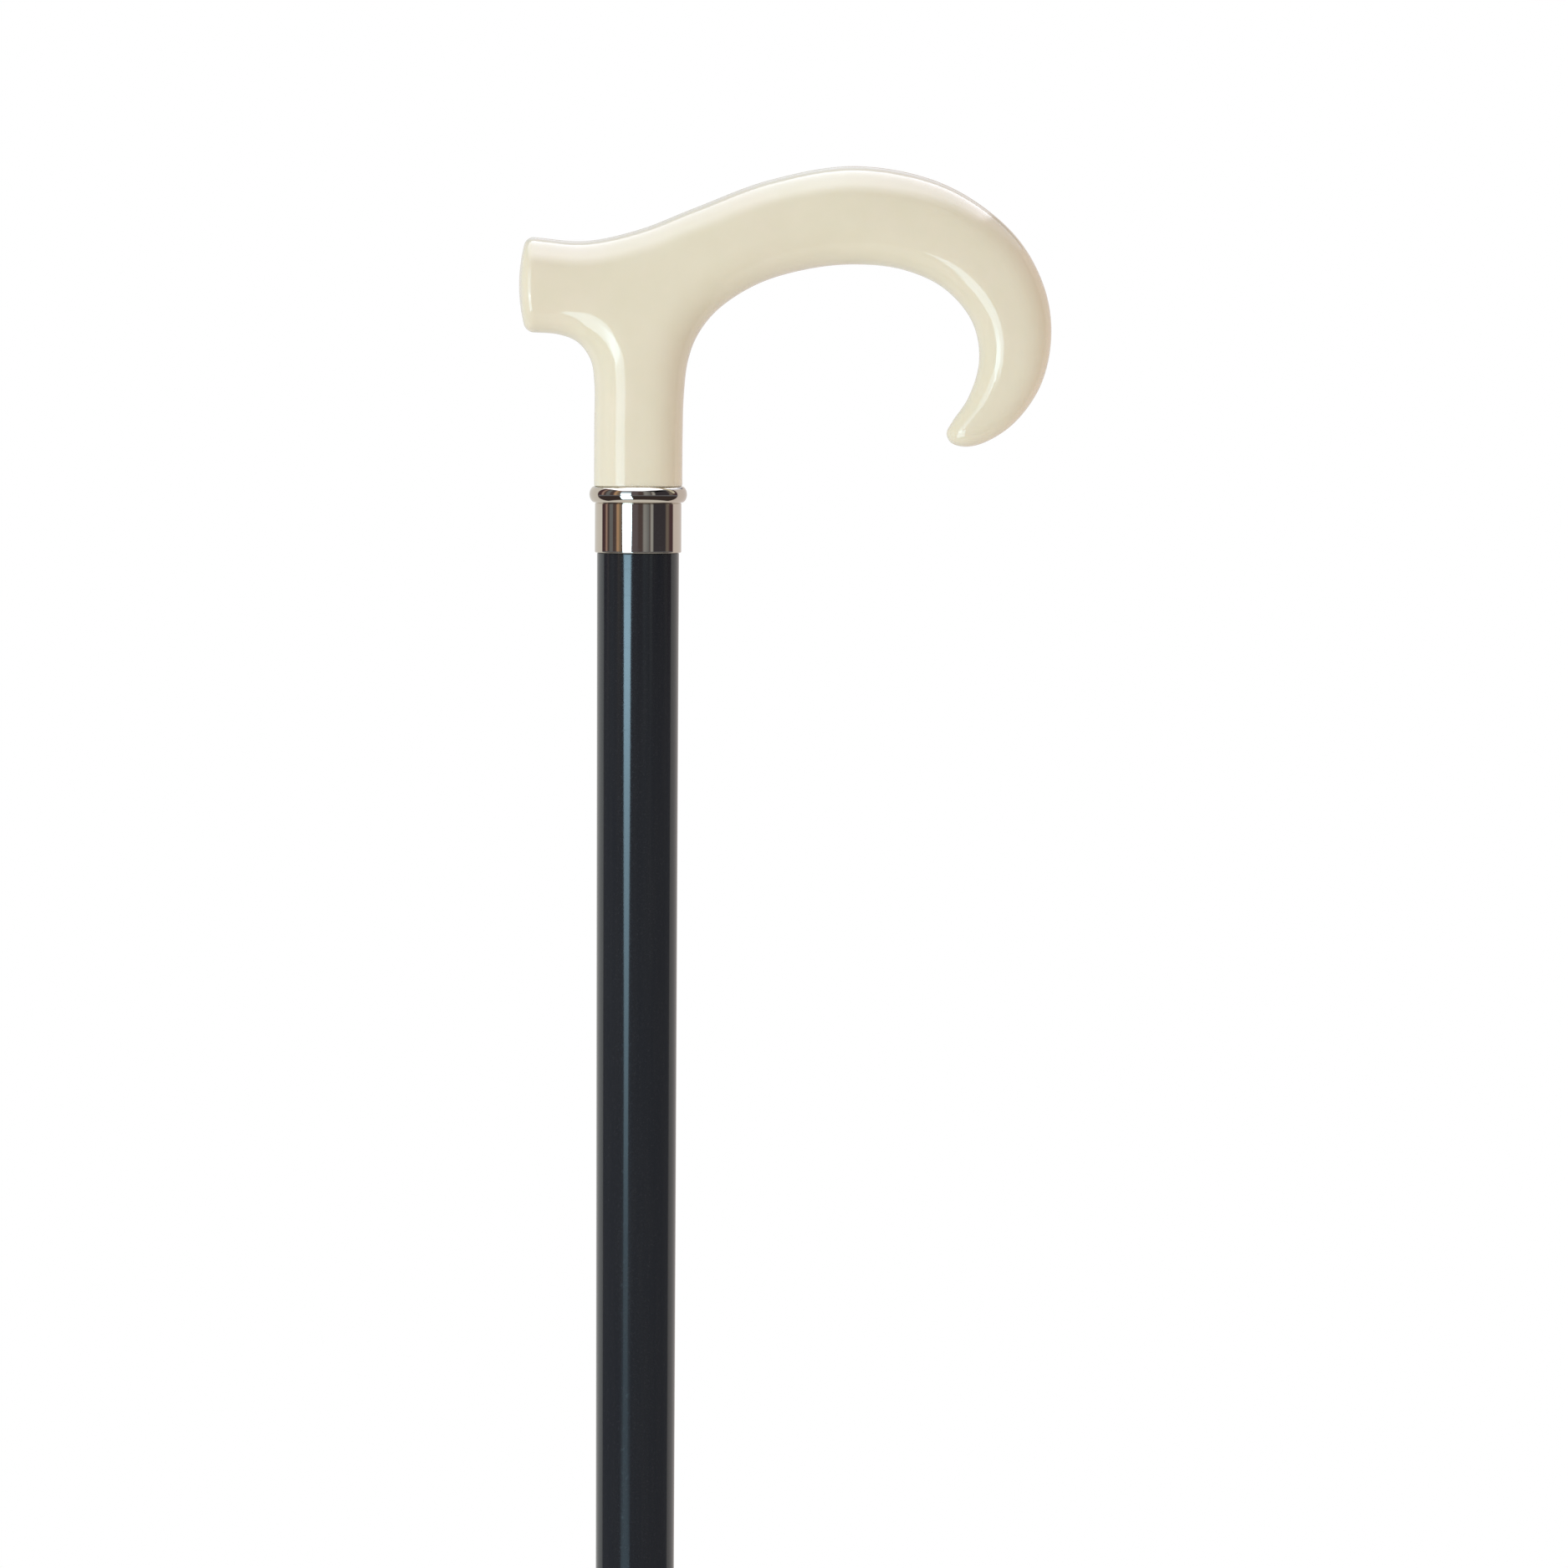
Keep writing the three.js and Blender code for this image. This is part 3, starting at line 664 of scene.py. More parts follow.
def sectionAt(sheet, stations, x, z):
    # Half width and inward share of the section at points of the side view
    total = width = depth = 0
    for nearX, nearZ, nearWidth, nearDepth in stations:
        weight = np.exp(-((x - nearX) ** 2 + (z - nearZ) ** 2) / (2 * handle["blend"] ** 2))
        total = total + weight
        width = width + weight * nearWidth
        depth = depth + weight * nearDepth
    inward = np.maximum(0, 1 - readMap(sheet, x, z) * total / depth)
    return width / total, inward


def fieldAt(x, y, z, width, inward):
    # About the distance to the handle's surface, negative inside it
    power, edge = handle["power"], handle["noseEdge"]
    sides = ((np.abs(y) / width) ** power + inward ** power) ** (1 / power)
    sides = (sides - 1) * width
    halfNose = handle["noseThickness"] / 2
    middle = handle["rise"] * handle["noseTopShare"] - halfNose
    away = np.hypot(y, z - middle) / halfNose
    face = handle["noseDome"] * away ** 2 - handle["noseReach"] - x
    rim = np.hypot(np.maximum(0, sides + edge), np.maximum(0, face + edge))
    nose = np.minimum(-edge, np.maximum(sides, face)) + rim
    return np.where(x > -handle["noseReach"] / 2, sides, nose)


def netOf(values, low, step):
    # One point in each cell that the surface crosses, one quad round each grid edge that it cuts
    cells = np.array(values.shape) - 1
    total = np.zeros((cells.prod(), 3))
    hits = np.zeros(cells.prod())
    quads = []
    for axis in range(3):
        near = tuple(slice(None, -1) if at == axis else slice(None) for at in range(3))
        far = tuple(slice(1, None) if at == axis else slice(None) for at in range(3))
        a, b = values[near], values[far]
        cut = (a < 0) != (b < 0)
        at = np.argwhere(cut)
        u, v = (axis + 1) % 3, (axis + 2) % 3
        kept = (at[:, u] > 0) & (at[:, v] > 0) & (at[:, u] < cells[u]) & (at[:, v] < cells[v])
        a, b, at = a[cut][kept], b[cut][kept], at[kept]
        crossing = at.astype(float)
        crossing[:, axis] += a / (a - b)
        ring = []
        for stepU, stepV in ((0, 0), (-1, 0), (-1, -1), (0, -1)):
            cell = at.copy()
            cell[:, u] += stepU
            cell[:, v] += stepV
            flat = np.ravel_multi_index(cell.T, cells)
            np.add.at(total, flat, crossing)
            np.add.at(hits, flat, 1)
            ring.append(flat)
        ring = np.stack(ring, 1)
        turned = a >= 0
        ring[turned] = ring[turned][:, ::-1]
        quads.append(ring)
    used = np.flatnonzero(hits)
    number = np.full(len(hits), -1)
    number[used] = np.arange(len(used))
    return low + step * total[used] / hits[used][:, None], number[np.concatenate(quads)]


def settled(points, field, step, rounds=4, flattest=0.1):
    # Moves the points onto the surface, where the field is zero
    probe = step / 50
    for _ in range(rounds):
        slope = np.zeros_like(points)
        for axis in range(3):
            shift = np.zeros(3)
            shift[axis] = probe
            slope[:, axis] = (field(points + shift) - field(points - shift)) / (2 * probe)
        move = field(points) / np.maximum((slope ** 2).sum(1), flattest)
        points = points - slope * np.clip(move, -step / 2, step / 2)[:, None]
    return points


def makeHandle():
    outline = sideOutline()
    sheet = depthMap(outline)
    stations = stationTable(outline)
    # A grid that reaches about two cells past the surface, the same on both sides of the middle plane
    step = handle["cell"]
    rows = math.ceil(handle["gripWidth"] / 2 / step) + 2
    low = np.array([-handle["noseReach"] - 2 * step, -(rows - 0.5) * step, -2.5 * step])
    high = np.array([handle["hookReach"] + 2 * step, (rows - 0.5) * step, handle["rise"] + 2 * step])
    x, y, z = (low[at] + step * np.arange(math.ceil((high[at] - low[at]) / step) + 1) for at in range(3))
    flatX, flatZ = np.meshgrid(x, z, indexing="ij")
    width, inward = sectionAt(sheet, stations, flatX, flatZ)
    values = fieldAt(flatX[:, None], y[None, :, None], flatZ[:, None], width[:, None], inward[:, None])
    points, quads = netOf(values, low, step)

    def field(at):
        return fieldAt(*at.T, *sectionAt(sheet, stations, at[:, 0], at[:, 2]))

    points = settled(points, field, step)
    mesh = bpy.data.meshes.new("derbyHandle")
    mesh.from_pydata(points, [], quads)
    return footed(mesh)


def footed(mesh):
    # Cuts the stem off above the collar and closes it with a rounded edge, the spigot and the blind bore
    edge = handle["footEdge"]
    solid = bmesh.new()
    solid.from_mesh(mesh)
    everything = solid.verts[:] + solid.edges[:] + solid.faces[:]
    bmesh.ops.bisect_plane(solid, geom=everything, dist=1e-6, plane_co=(0, 0, edge), plane_no=(0, 0, 1),
                           clear_inner=True)
    rim = {vert: math.atan2(vert.co.y, vert.co.x) for line in solid.edges if line.is_boundary
           for vert in line.verts}
    rim, angles = zip(*sorted(rim.items(), key=lambda pair: pair[1]))
    reach = [vert.co.xy.length for vert in rim]
    rings = []
    for step in range(1, handle["footSteps"] + 1):
        sweep = step / handle["footSteps"] * math.pi / 2
        rings.append(([far - edge * (1 - math.cos(sweep)) for far in reach], edge * (1 - math.sin(sweep))))
    seat, bore = cane["seatRadius"], handle["boreRadius"]
    spigotEnd = 2 * cane["gap"] - cane["spigotLength"]
    corner, bevel, countersink = handle["seatCorner"], handle["spigotBevel"], handle["boreBevel"]
    for radius, height in ((seat + corner, 0), (seat, -corner), (seat, spigotEnd + bevel),
                           (seat - bevel, spigotEnd), (bore + countersink, spigotEnd),
                           (bore, spigotEnd + countersink), (bore, handle["boreTop"])):
        rings.append(([radius] * len(rim), height))
    above = rim
    for radii, height in rings:
        below = [solid.verts.new((far * math.cos(sweep), far * math.sin(sweep), height))
                 for far, sweep in zip(radii, angles)]
        for at, vert in enumerate(below):
            solid.faces.new((above[at - 1], above[at], vert, below[at - 1]))
        above = below
    pole = solid.verts.new((0, 0, handle["boreTop"]))
    for at, vert in enumerate(above):
        solid.faces.new((above[at - 1], vert, pole))
    bmesh.ops.recalc_face_normals(solid, faces=solid.faces[:])
    bmesh.ops.transform(solid, matrix=Matrix.Scale(mm, 4) @ Matrix.Translation((0, 0, cane["collarTop"])),
                        verts=solid.verts[:])
    for face in solid.faces:
        face.smooth = True
    solid.to_mesh(mesh)
    solid.free()
    mesh.materials.append(creamAcrylic)
    return addPiece("derbyHandle", mesh)


fitPiece(makeHandle(), "cane", "cream_acrylic", "handle")
print("handle built")


collar = {
    "bore": 9.8,
    "boreEdge": 0.2,
    "seam": 6.0,             # height in the bore where the profile begins and ends
    "sleeve": 10.55,
    "rim": 0.3,
    "beadHeight": 4.0,
    "beadProud": 1.35,
    "beadSteps": 28,
    "groove": 0.22,          # between the bead and the sleeve
    "grooveEdge": 0.1,
}


def makeCollar():
    bottom, top = cane["collarBottom"], cane["collarTop"]
    bore, edge, sleeve, groove = (collar[size] for size in ("bore", "boreEdge", "sleeve", "groove"))
    seam = (bore, bottom + collar["seam"])
    beadMiddle = top - collar["beadHeight"] / 2
    beadBottom = top - collar["beadHeight"]
    lower = rounded([
        (*seam, 0),
        (bore, bottom, edge),
        (sleeve, bottom, collar["rim"]),
        (sleeve, beadBottom - groove, collar["grooveEdge"]),
        (sleeve - groove, beadBottom - groove / 2, 0),
    ])
    bead = []
    for step in range(collar["beadSteps"] + 1):
        angle = (step / collar["beadSteps"] - 0.5) * math.pi
        bead.append((sleeve + collar["beadProud"] * math.cos(angle),
                     beadMiddle + collar["beadHeight"] / 2 * math.sin(angle)))
    profile = lower + bead + [(bore + edge, top), (bore, top - edge), seam]
    return turnProfile("nickelCollar", profile, polishedNickel)


fitPiece(makeCollar(), "cane", "nickel_plate", "collar")


shaft = {
    "tipChamfer": 0.8,
    "tipEdge": 0.3,
    "shoulderEdge": 0.25,
    "seatCorner": 0.1,
    "endChamfer": 0.8,       # of the upper end, inside the collar
    "endEdge": 0.2,
    "boreBottom": 793.4,
    "boreEdge": 0.5,
}


def makeShaft():
    shoulder = cane["collarBottom"] - cane["gap"]
    top = cane["collarTop"] - cane["spigotLength"] - 3 * cane["gap"]
    tip, tipRadius, seat = cane["shaftTip"], cane["shaftTipRadius"], cane["seatRadius"]
    bore, boreBottom = cane["screwBore"], shaft["boreBottom"]
    tipChamfer, endChamfer, tipEdge, endEdge = (
        shaft[size] for size in ("tipChamfer", "endChamfer", "tipEdge", "endEdge"))
    profile = rounded([
        (0, tip, 0),
        (tipRadius - tipChamfer, tip, tipEdge),
        (tipRadius, tip + tipChamfer, tipEdge),
        (cane["shaftRadius"], shoulder, shaft["shoulderEdge"]),
        (seat, shoulder, shaft["seatCorner"]),
        (seat, top - endChamfer, endEdge),
        (seat - endChamfer, top, endEdge),
        (bore, top, endEdge),
        (bore, boreBottom + bore, shaft["boreEdge"]),
        (0, boreBottom, 0),
    ])
    return turnProfile("lacqueredShaft", profile, blackLacquer)


fitPiece(makeShaft(), "cane", "black_lacquer", "shaft")
print("collar and shaft built")


# A turned body with ribs round its neck and webs between the rings of its tread
ferrule = {
    "foot": 16.5,
    "footEdge": 1.1,
    "skirt": 3.2,
    "flareHeight": 13.0,
    "flarePower": 1.25,
    "flareSteps": 24,
    "socket": 8.7536,
    "wall": 3.4,
    "floor": 7.0,
    "floorEdge": 0.4,
    "lipHeight": 3.4,
    "lipProud": 0.7,
    "lipEdges": (0.4, 0.5, 0.9),     # under it, at its lower rim and at its upper rim
    "mouth": 0.8,
    "treadPad": 4.5,
    "treadEdge": 0.25,
    "grooves": 3,
    "grooveDepth": 1.2,
    "grooveSlope": 0.125,    # share of the rings' pitch that each side of a groove leans over
    "ribCount": 3,
    "ribHeight": 1.5,        # half of a rib's height
    "ribProud": 0.6,
    "websPerGroove": (10, 16, 22),
    "webWidth": 1.1,
    "webRecess": 0.35,       # of the webs above the floor
    "webRoot": 0.3,          # their depth in the rubber
}


def makeFerrule():
    height = cane["ferruleHeight"]
    foot, neck = ferrule["foot"], ferrule["socket"] + ferrule["wall"]
    lip = neck + ferrule["lipProud"]
    neckBottom = ferrule["skirt"] + ferrule["flareHeight"]
    lipBottom = height - ferrule["lipHeight"]
    landPitch = (foot - ferrule["footEdge"] - ferrule["treadPad"]) / ferrule["grooves"]
    half, slope = landPitch / 2, landPitch * ferrule["grooveSlope"]
    depth, edge, recess = ferrule["grooveDepth"], ferrule["treadEdge"], ferrule["webRecess"]
    webTop = depth + ferrule["webRoot"]
    corners = [(0, 0, 0)]
    webs = []
    for groove in range(ferrule["grooves"]):
        inner = ferrule["treadPad"] + groove * landPitch
        corners += [(inner, 0, edge), (inner + slope, depth, edge),
                    (inner + half - slope, depth, edge), (inner + half, 0, edge)]
        webs.append(runTree("treadWebs", radialWebs, {
            "Radius": (inner + half / 2) * mm,
            "Height": (recess + webTop) / 2 * mm,
            "Size": (half * mm, ferrule["webWidth"] * mm, (webTop - recess) * mm),
            "Count": ferrule["websPerGroove"][groove],
            "Finish": mouldedRubber,
        }))
    corners += [(foot, 0, ferrule["footEdge"])]
    lower = rounded(corners + [(foot, ferrule["skirt"], 0)])
    flare = []
    for step in range(1, ferrule["flareSteps"] + 1):
        share = step / ferrule["flareSteps"]
        flare.append((foot + (neck - foot) * math.sin(share * math.pi / 2),
                      ferrule["skirt"] + ferrule["flareHeight"] * share ** ferrule["flarePower"]))
    upper = rounded([
        flare[-1] + (0,),
        (neck, lipBottom, ferrule["lipEdges"][0]),
        (lip, lipBottom + ferrule["lipProud"], ferrule["lipEdges"][1]),
        (lip, height, ferrule["lipEdges"][2]),
        (ferrule["socket"], height, ferrule["mouth"]),
        (ferrule["socket"], ferrule["floor"], ferrule["floorEdge"]),
        (0, ferrule["floor"], 0),
    ])
    body = turnProfile("rubberFerrule", lower + flare[:-1] + upper, mouldedRubber)
    ribPitch = (lipBottom - neckBottom) / (ferrule["ribCount"] + 1)
    ribs = runTree("neckRibs", ringStack, {
        "Radius": neck * mm,
        "Section Width": ferrule["ribProud"] * mm,
        "Section Height": ferrule["ribHeight"] * mm,
        "First Height": (neckBottom + ribPitch) * mm,
        "Pitch": ribPitch * mm,
        "Count": ferrule["ribCount"],
        "Finish": mouldedRubber,
    })
    return body, ribs, joined("treadWebs", webs)


for part in makeFerrule():
    fitPiece(part, "ferrule", "black_rubber", "ferrule")
print("ferrule built")


# Hidden in the joint of the handle and the shaft; heights are from the collar's top edge
screw = {
    "crest": 4.0,
    "middle": -5.0,
    "machineLength": 22.0,
    "machinePitch": 1.25,
    "machineDepth": 0.7,
    "woodLength": 42.0,
    "woodPitch": 3.6,
    "woodDepth": 1.3,
    "point": 5.0,
    "pointEdge": 0.6,
    "shank": 7.0,
    "chamfer": 1.6,
    "edge": 0.2,
    "ridge": 0.8,            # width of a thread's ridge as a share of its pitch
    "segments": 48,
}


def makeScrew():
    crest, chamfer, edge = screw["crest"], screw["chamfer"], screw["edge"]
    base = cane["collarTop"] + screw["middle"]
    top, bottom = base + screw["machineLength"], base - screw["woodLength"]
    shankTop, shankBottom = base + screw["shank"] / 2, base - screw["shank"] / 2
    machineRoot, woodRoot = crest - screw["machineDepth"], crest - screw["woodDepth"]
    core = turnProfile("hangerScrew", rounded([
        (0, bottom, 0),
        (woodRoot, bottom + screw["point"], screw["pointEdge"]),
        (woodRoot, shankBottom, edge),
        (crest, shankBottom + chamfer, edge),
        (crest, shankTop - chamfer, edge),
        (machineRoot, shankTop, edge),
        (machineRoot, top - screw["machineDepth"], edge),
        (machineRoot - screw["machineDepth"], top, edge),
        (0, top, 0),
    ], steps=3), zincSteel, screw["segments"])
    parts = [core]
    for name, low, high, pitch, depth in (
        ("machineThread", shankTop, top, screw["machinePitch"], screw["machineDepth"]),
        ("woodThread", bottom + screw["point"], shankBottom, screw["woodPitch"], screw["woodDepth"]),
    ):
        parts.append(runTree(name, screwThread, {
            "Radius": crest * mm,
            "Depth": depth * mm,
            "Width": screw["ridge"] * pitch * mm,
            "Pitch": pitch * mm,
            "Turns": float(math.floor((high - low) / pitch) - 1),
            "Bottom": (low + pitch / 2) * mm,
            "Finish": zincSteel,
        }))
    return joined("hangerScrew", parts)


fitPiece(makeScrew(), "cane", "steel", "joining_screw")
for node, finish in (("handle_insert", turnedBrass), ("ferrule_washer", zincSteel)):
    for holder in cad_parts[node].material_slots:
        holder.link = "OBJECT"
        holder.material = finish
print("joint hardware built")


studio = {
    "ambient": 0.715,
    "floorRadius": 2000.0,
    "floorDrop": 0.05,               # of the floor under the foot
    "floorFade": (220.0, 950.0),     # from plain floor to white
    "floor": (0.86, 0.86, 0.855, 1),
    "stripTurn": -28.9,              # degrees from straight in front, to the left
    "stripAway": 900.0,
    "stripColor": (0.72, 1.0, 1.22, 1),
    "stripBelow": 4.0,               # strength of its part below the card
    "stripSoft": 1.0,                # soft edge of that part, in degrees
    "stripHalf": 12.2,               # half width of that part at the level of the cane, in degrees
    "stripWiden": -0.07,             # change of it with the direction's height, in radians
    "overheadRise": 1850.0,
    "overheadColor": (0.9, 0.95, 1.1, 1),
    "overheadGlow": 5.4,
    "overheadTurn": 270.0,           # right of here its front edge runs back
    "overheadSlant": 1.0,
}
white = (1, 1, 1, 1)
# The strip light: half width and height of its outline, strength along its height
stripOutline = [(120, 474), (100, 626), (150, 740), (155, 795), (205, 812), (205, 1450)]
stripGlow = [(474, 0.18), (571, 0.65), (626, 1.9), (690, 3.4), (737, 4.9), (765, 7.0), (795, 7.0),
             (825, 2.9), (950, 2.5), (1080, 1.6), (1200, 0.6), (1450, 0.2)]
# The overhead light: plan, and shares of its strength from left to right and from front to back
overheadOutline = [(-960, -1400), (1500, -1400), (1500, 3000), (-960, 3000)]
overheadAcross = [(-960, 0.38), (-450, 0.66), (-200, 0.85), (0, 1), (300, 0.95), (600, 0.86), (840, 0.82),
                  (900, 0.2), (1500, 0.2)]
overheadAlong = [(-1400, 0), (-1000, 0.3), (-700, 0.63), (-450, 1), (740, 1), (820, 0.27), (3000, 0.27)]
# What the polish mirrors round the room: tones, and the degrees from the front where each one stands
tones = {
    "paleLeft": (0.78, 0.77, 0.75, 1),
    "paleRight": (0.74, 0.68, 0.66, 1),
    "umber": (0.09, 0.052, 0.06, 1),
    "clay": (0.42, 0.29, 0.25, 1),
    "bark": (0.1, 0.075, 0.075, 1),
    "slate": (0.18, 0.19, 0.2, 1),
    "tan": (0.54, 0.36, 0.23, 1),
    "ochre": (0.34, 0.25, 0.16, 1),
    "smoke": (0.145, 0.125, 0.14, 1),
    "soot": (0.055, 0.042, 0.04, 1),
    "ink": (0.052, 0.048, 0.058, 1),
    "mist": (0.31, 0.32, 0.33, 1),
    "glint": (0.42, 0.43, 0.43, 1),
    "moss": (0.2, 0.17, 0.15, 1),
    "dusk": (0.17, 0.18, 0.21, 1),
}
room = [(-112, "paleLeft"), (-110, "umber"), (-98, "umber"), (-94, "clay"), (-91, "clay"), (-88, "bark"),
        (-84, "bark"), (-80, "slate"), (-72, "slate"), (-69, "bark"), (-61, "bark"), (-57, "tan"),
        (-53, "tan"), (-51, "ochre"), (-41, "smoke"), (-2, "smoke"), (3, "bark"), (12, "bark"),
        (16, "mist"), (20, "mist"), (30, "slate"), (32, "bark"), (36, "glint"), (40, "glint"), (43, "ink"),
        (78, "ink"), (83, "moss"), (88, "moss"), (95, "umber"), (107, "umber"), (109, "paleRight")]
# The table below the bands: how far down each tone stands
tableTop = [(0.13, "dusk"), (0.17, "soot")]
# Where a part of the room begins and where it is whole: degrees for the front, heights for the rest
limits = {
    "front": (111, 106),
    "table": (-0.026, -0.036),
    "ceiling": (0.82, 0.9),
    "ground": (-0.72, -0.8),
    "stripTop": (-0.13, -0.16),
    "stripEnd": (-0.7, -0.65),
}
# Soft light: level, and its change toward the right and toward the left, dimmer and warmer to the right
softLight = {"Red": (1.0, -0.27, -0.03), "Green": (0.99, -0.37, -0.09), "Blue": (0.98, -0.42, -0.14)}


def makeWorld():
    world = bpy.data.worlds.new("studioWorld")
    world.use_nodes = True
    scene.world = world
    tree = world.node_tree
    axes = axesOf(tree, addNode(tree, "ShaderNodeTexCoord").outputs["Generated"])
    level = axes["Z"]

    def within(name):
        return rise(tree, level, *limits[name])

    # The angle from the front, of which a full turn is the whole ramp
    angle = maths(tree, "ARCTAN2", axes["X"], product(tree, axes["Y"], -1.0))
    bands = addRamp(tree, maths(tree, "MULTIPLY_ADD", angle, 0.5 / math.pi, 0.5),
                    [(0.5 + degrees / 360, tones[tone]) for degrees, tone in room])
    # The bands stand above the table's edge only; below it the front is dark and the sides are pale
    table = addRamp(tree, product(tree, level, -1.0), [(down, tones[tone]) for down, tone in tableTop])
    front = rise(tree, maths(tree, "ABSOLUTE", angle), *map(math.radians, limits["front"]))
    base = blend(tree, product(tree, front, within("table")), bands, table)
    beyond = maths(tree, "MAXIMUM", within("ceiling"), within("ground"))
    walls = blend(tree, beyond, base, tones["paleLeft"])
    # The strip light goes on below its card and widens, down to the table's edge
    aside = maths(tree, "ABSOLUTE", maths(tree, "SUBTRACT", angle, math.radians(studio["stripTurn"])))
    half = maths(tree, "MULTIPLY_ADD", level, studio["stripWiden"], math.radians(studio["stripHalf"]))
    beside = rise(tree, maths(tree, "SUBTRACT", aside, half), math.radians(studio["stripSoft"]), 0.0)
    strip = product(tree, beside, within("stripTop"), within("stripEnd"))
    glow = tuple(studio["stripBelow"] * part for part in studio["stripColor"][:3]) + (1,)
    lit = blend(tree, strip, walls, glow)
    soft = {}
    for name, (middle, *slopes) in softLight.items():
        soft[name] = maths(tree, "MINIMUM", *(
            maths(tree, "MULTIPLY_ADD", axes["X"], slope, middle * studio["ambient"]) for slope in slopes))
    path = addNode(tree, "ShaderNodeLightPath").outputs
    mirrored = maths(tree, "MAXIMUM", path["Is Glossy Ray"], path["Is Transmission Ray"])
    polished = blend(tree, mirrored, outputOf(tree, "ShaderNodeCombineColor", soft), lit)
    seen = blend(tree, path["Is Camera Ray"], polished, white)
    tree.links.new(seen, tree.nodes["Background"].inputs["Color"])


def glowAlong(tree, place, stops):
    # Reads stops of (place in millimetres, strength) at a place in metres
    start, end = stops[0][0], stops[-1][0]
    most = max(strength for _, strength in stops)
    glow = addRamp(tree, rise(tree, place, start * mm, end * mm), [
        ((at - start) / (end - start), (strength / most,) * 3 + (1,)) for at, strength in stops])
    return product(tree, glow, most)


def stripLight(tree, place):
    return glowAlong(tree, place["Z"], stripGlow)


def overheadLight(tree, place):
    past = maths(tree, "MAXIMUM", maths(tree, "SUBTRACT", place["X"], studio["overheadTurn"] * mm), 0.0)
    back = maths(tree, "MULTIPLY_ADD", past, -studio["overheadSlant"], place["Y"])
    return product(tree, glowAlong(tree, place["X"], overheadAcross), glowAlong(tree, back, overheadAlong),
                   studio["overheadGlow"])


def bareMaterial(name):
    made = bpy.data.materials.new(name)
    made.use_nodes = True
    made.node_tree.nodes.clear()
    return made, made.node_tree


def makeCard(name, corners, color, strength, clear=False):
    # A lit card that only polished surfaces show. A clear one adds its light to what lies behind it.
    mesh = bpy.data.meshes.new(name)
    mesh.from_pydata([Vector(corner) * mm for corner in corners], [], [range(len(corners))])
    card = addPiece(name, mesh)
    glow, tree = bareMaterial(name)
    lit = outputOf(tree, "ShaderNodeEmission", {
        "Color": color, "Strength": strength(tree, axesOf(tree, objectPlace(tree))),
    })
    if clear:
        lit = outputOf(tree, "ShaderNodeAddShader", {0: lit, 1: outputOf(tree, "ShaderNodeBsdfTransparent")})
    addNode(tree, "ShaderNodeOutputMaterial", {"Surface": lit})
    mesh.materials.append(glow)
    glow.cycles.emission_sampling = "NONE"
    card.visible_camera = card.visible_diffuse = card.visible_shadow = False


def makeCards():
    angle = math.radians(studio["stripTurn"])
    middle = Vector((math.sin(angle), -math.cos(angle), 0)) * studio["stripAway"]
    across = Vector((math.cos(angle), math.sin(angle), 0))
    outline = [(half, height) for half, height in stripOutline]
    outline += [(-half, height) for half, height in reversed(stripOutline)]
    makeCard("stripCard", [middle + across * half + Vector((0, 0, height)) for half, height in outline],
             studio["stripColor"], stripLight, clear=True)
    makeCard("overheadCard", [(x, y, studio["overheadRise"]) for x, y in overheadOutline],
             studio["overheadColor"], overheadLight)


# Lamps: place in metres, height aimed at on the cane, size, watts and colour
lamps = {
    "keyPanel": ((-1.25, -1.55, 1.2), 0.85, (1.0, 1.4), 14, (0.965, 1.0, 1.01)),
    "fillPanel": ((1.9, 0.25, 0.9), 0.8, (1.2, 1.6), 10.5, (1.0, 0.81, 0.73)),
    "bouncePanel": ((-0.4, -0.9, 0.12), 0.9, (1.2, 0.7), 2.9, (1.0, 0.99, 0.95)),
    "topPanel": ((0.1, 0.1, 2.3), 0.8, (1.6, 1.2), 1.5, (0.97, 0.99, 1.0)),
}
aimedBeside = 0.03                   # the lamps' aim is this far right of the shaft


def makeLamp(name, spot, aimHeight, size, watts, color):
    light = bpy.data.lights.new(name, "AREA")
    light.shape = "RECTANGLE"
    light.size, light.size_y = size
    light.energy = watts
    light.color = color
    lamp = addPiece(name, light)
    lamp.location = spot
    aim = Vector((aimedBeside, 0, aimHeight))
    lamp.rotation_euler = (Vector(spot) - aim).to_track_quat("Z", "Y").to_euler()
    lamp.visible_camera = lamp.visible_glossy = False


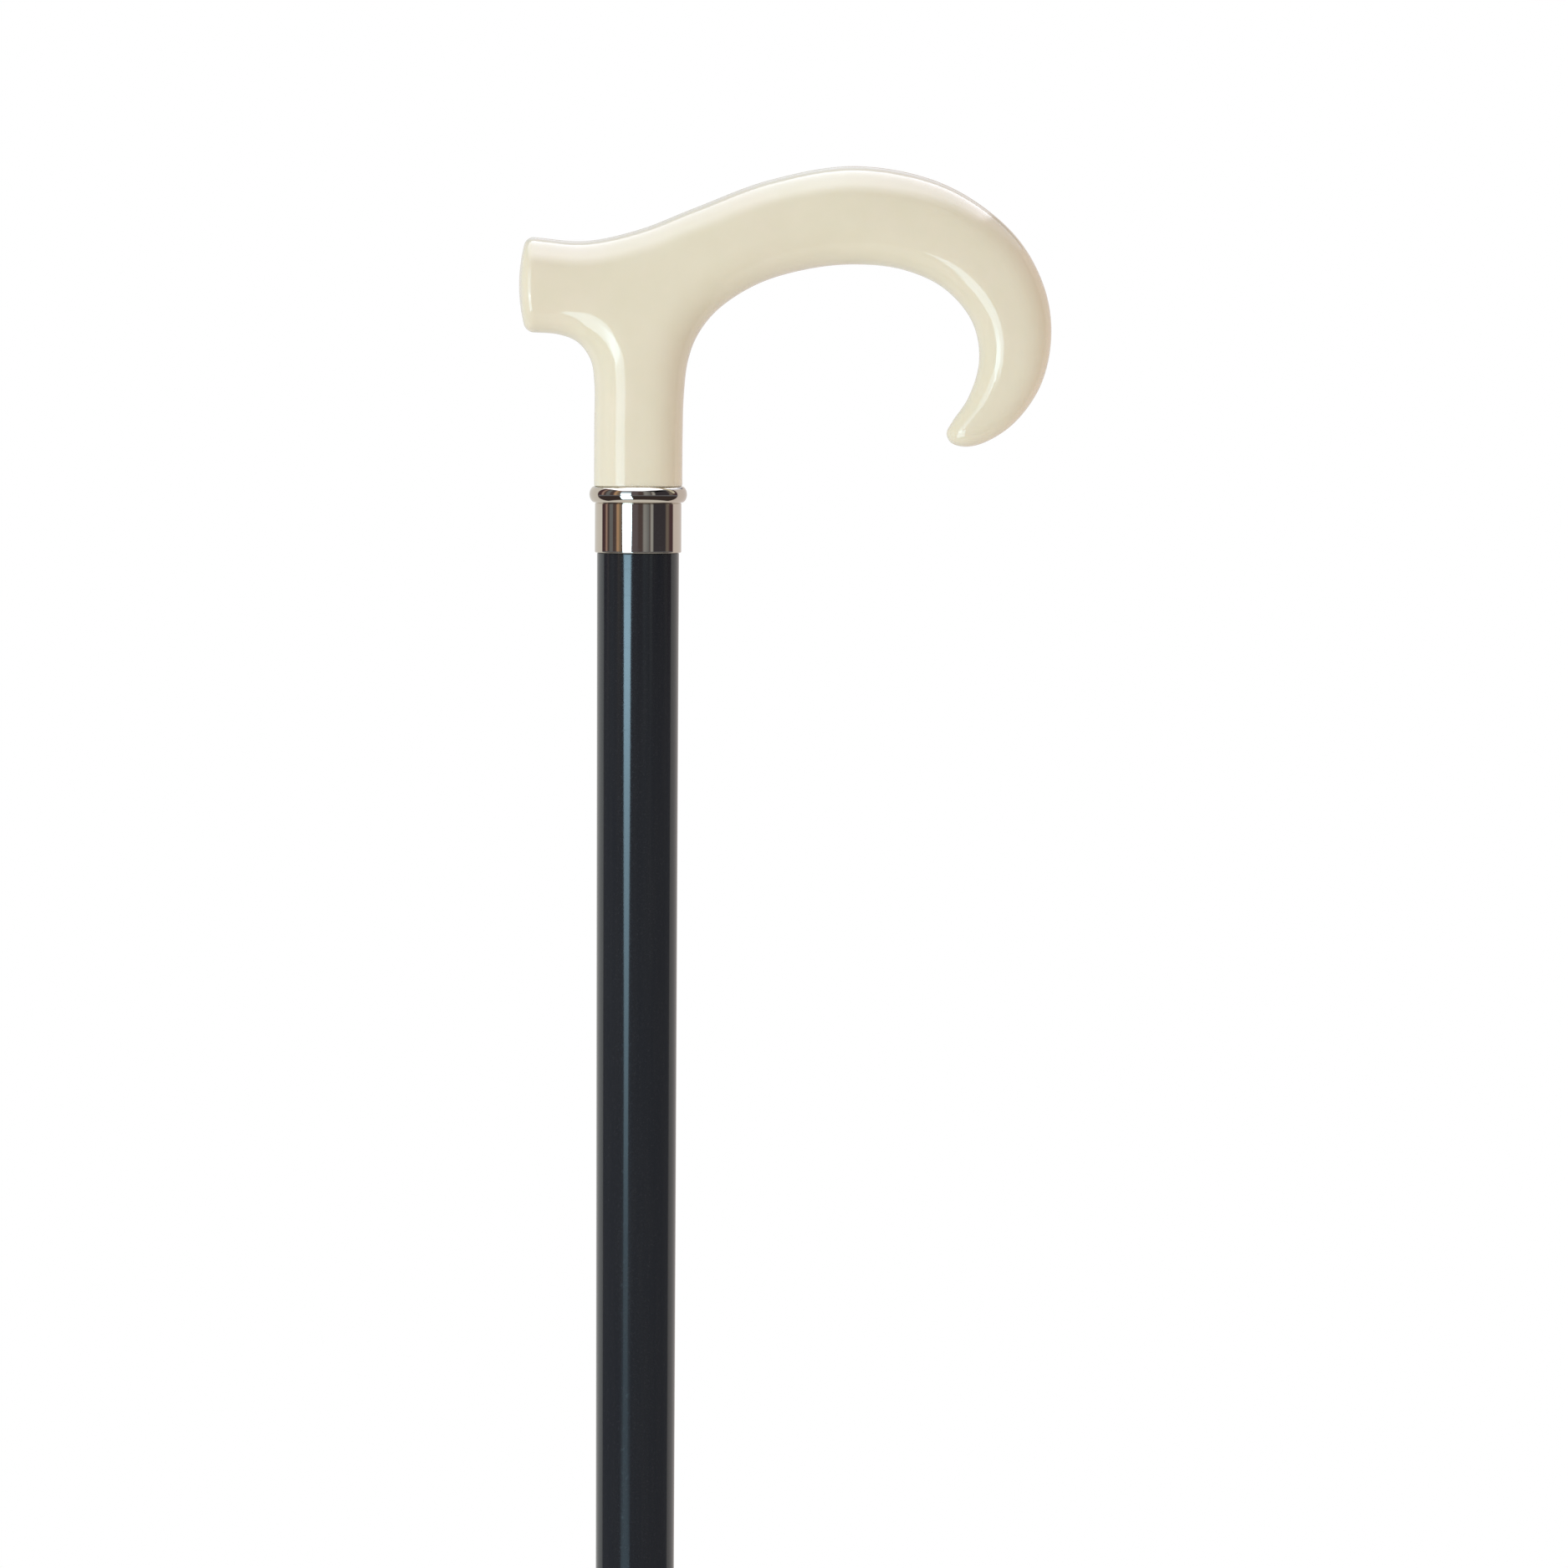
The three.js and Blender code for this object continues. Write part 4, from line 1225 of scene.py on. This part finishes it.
def makeFloor():
    solid = bmesh.new()
    bmesh.ops.create_circle(solid, cap_ends=True, segments=96, radius=studio["floorRadius"] * mm,
                            matrix=Matrix.Translation((0, 0, -studio["floorDrop"] * mm)))
    mesh = bpy.data.meshes.new("studioFloor")
    solid.to_mesh(mesh)
    solid.free()
    floor = addPiece("studioFloor", mesh)
    surface, tree = bareMaterial("studioFloor")
    away = addNode(tree, "ShaderNodeVectorMath", {0: objectPlace(tree)}, operation="LENGTH").outputs["Value"]
    near, far = studio["floorFade"]
    fade = rise(tree, away, near * mm, far * mm, interpolation_type="SMOOTHSTEP")
    path = addNode(tree, "ShaderNodeLightPath").outputs
    shown = maths(tree, "MAXIMUM", path["Is Camera Ray"],
                  maths(tree, "MAXIMUM", path["Is Glossy Ray"], path["Is Transmission Ray"]))
    mixed = outputOf(tree, "ShaderNodeMixShader", {
        0: product(tree, fade, shown),
        1: outputOf(tree, "ShaderNodeBsdfDiffuse", {"Color": studio["floor"]}),
        2: outputOf(tree, "ShaderNodeEmission", {"Color": white, "Strength": 1.0}),
    })
    # Clear from below, so that the foot can be looked at
    oneWay = outputOf(tree, "ShaderNodeMixShader", {
        0: addNode(tree, "ShaderNodeNewGeometry").outputs["Backfacing"],
        1: mixed,
        2: outputOf(tree, "ShaderNodeBsdfTransparent"),
    })
    addNode(tree, "ShaderNodeOutputMaterial", {"Surface": oneWay})
    mesh.materials.append(surface)
    floor.visible_glossy = False
    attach(floor, "ferrule")        # the foot stays on the floor when the ferrule is pulled off


makeWorld()
makeCards()
for name, settings in lamps.items():
    makeLamp(name, *settings)
makeFloor()
print("studio built")


# Camera at the photograph's viewing angle
shot = {
    "away": 2500.0,
    "spanAtCane": 382.65,            # width of the frame at the cane
    "aim": (35.84, 769.28),
    "height": 886.08,
    "roll": 0.22,                    # degrees
    "sensor": 36.0,
    "clip": (50.0, 50000.0),
}


def makeCamera():
    data = bpy.data.cameras.new("photoCamera")
    data.sensor_width = shot["sensor"]
    data.lens = shot["sensor"] * shot["away"] / shot["spanAtCane"]
    data.clip_start, data.clip_end = (depth * mm for depth in shot["clip"])
    camera = addPiece("photoCamera", data)
    spot = Vector((shot["aim"][0], -shot["away"], shot["height"])) * mm
    aim = Vector((shot["aim"][0], 0, shot["aim"][1])) * mm
    looking = (aim - spot).to_track_quat("-Z", "Y").to_matrix().to_4x4()
    camera.matrix_world = Matrix.Translation(spot) @ looking @ Matrix.Rotation(
        math.radians(shot["roll"]), 4, "Z")
    scene.camera = camera


makeCamera()
scene.view_settings.view_transform = "Standard"
print("camera set")
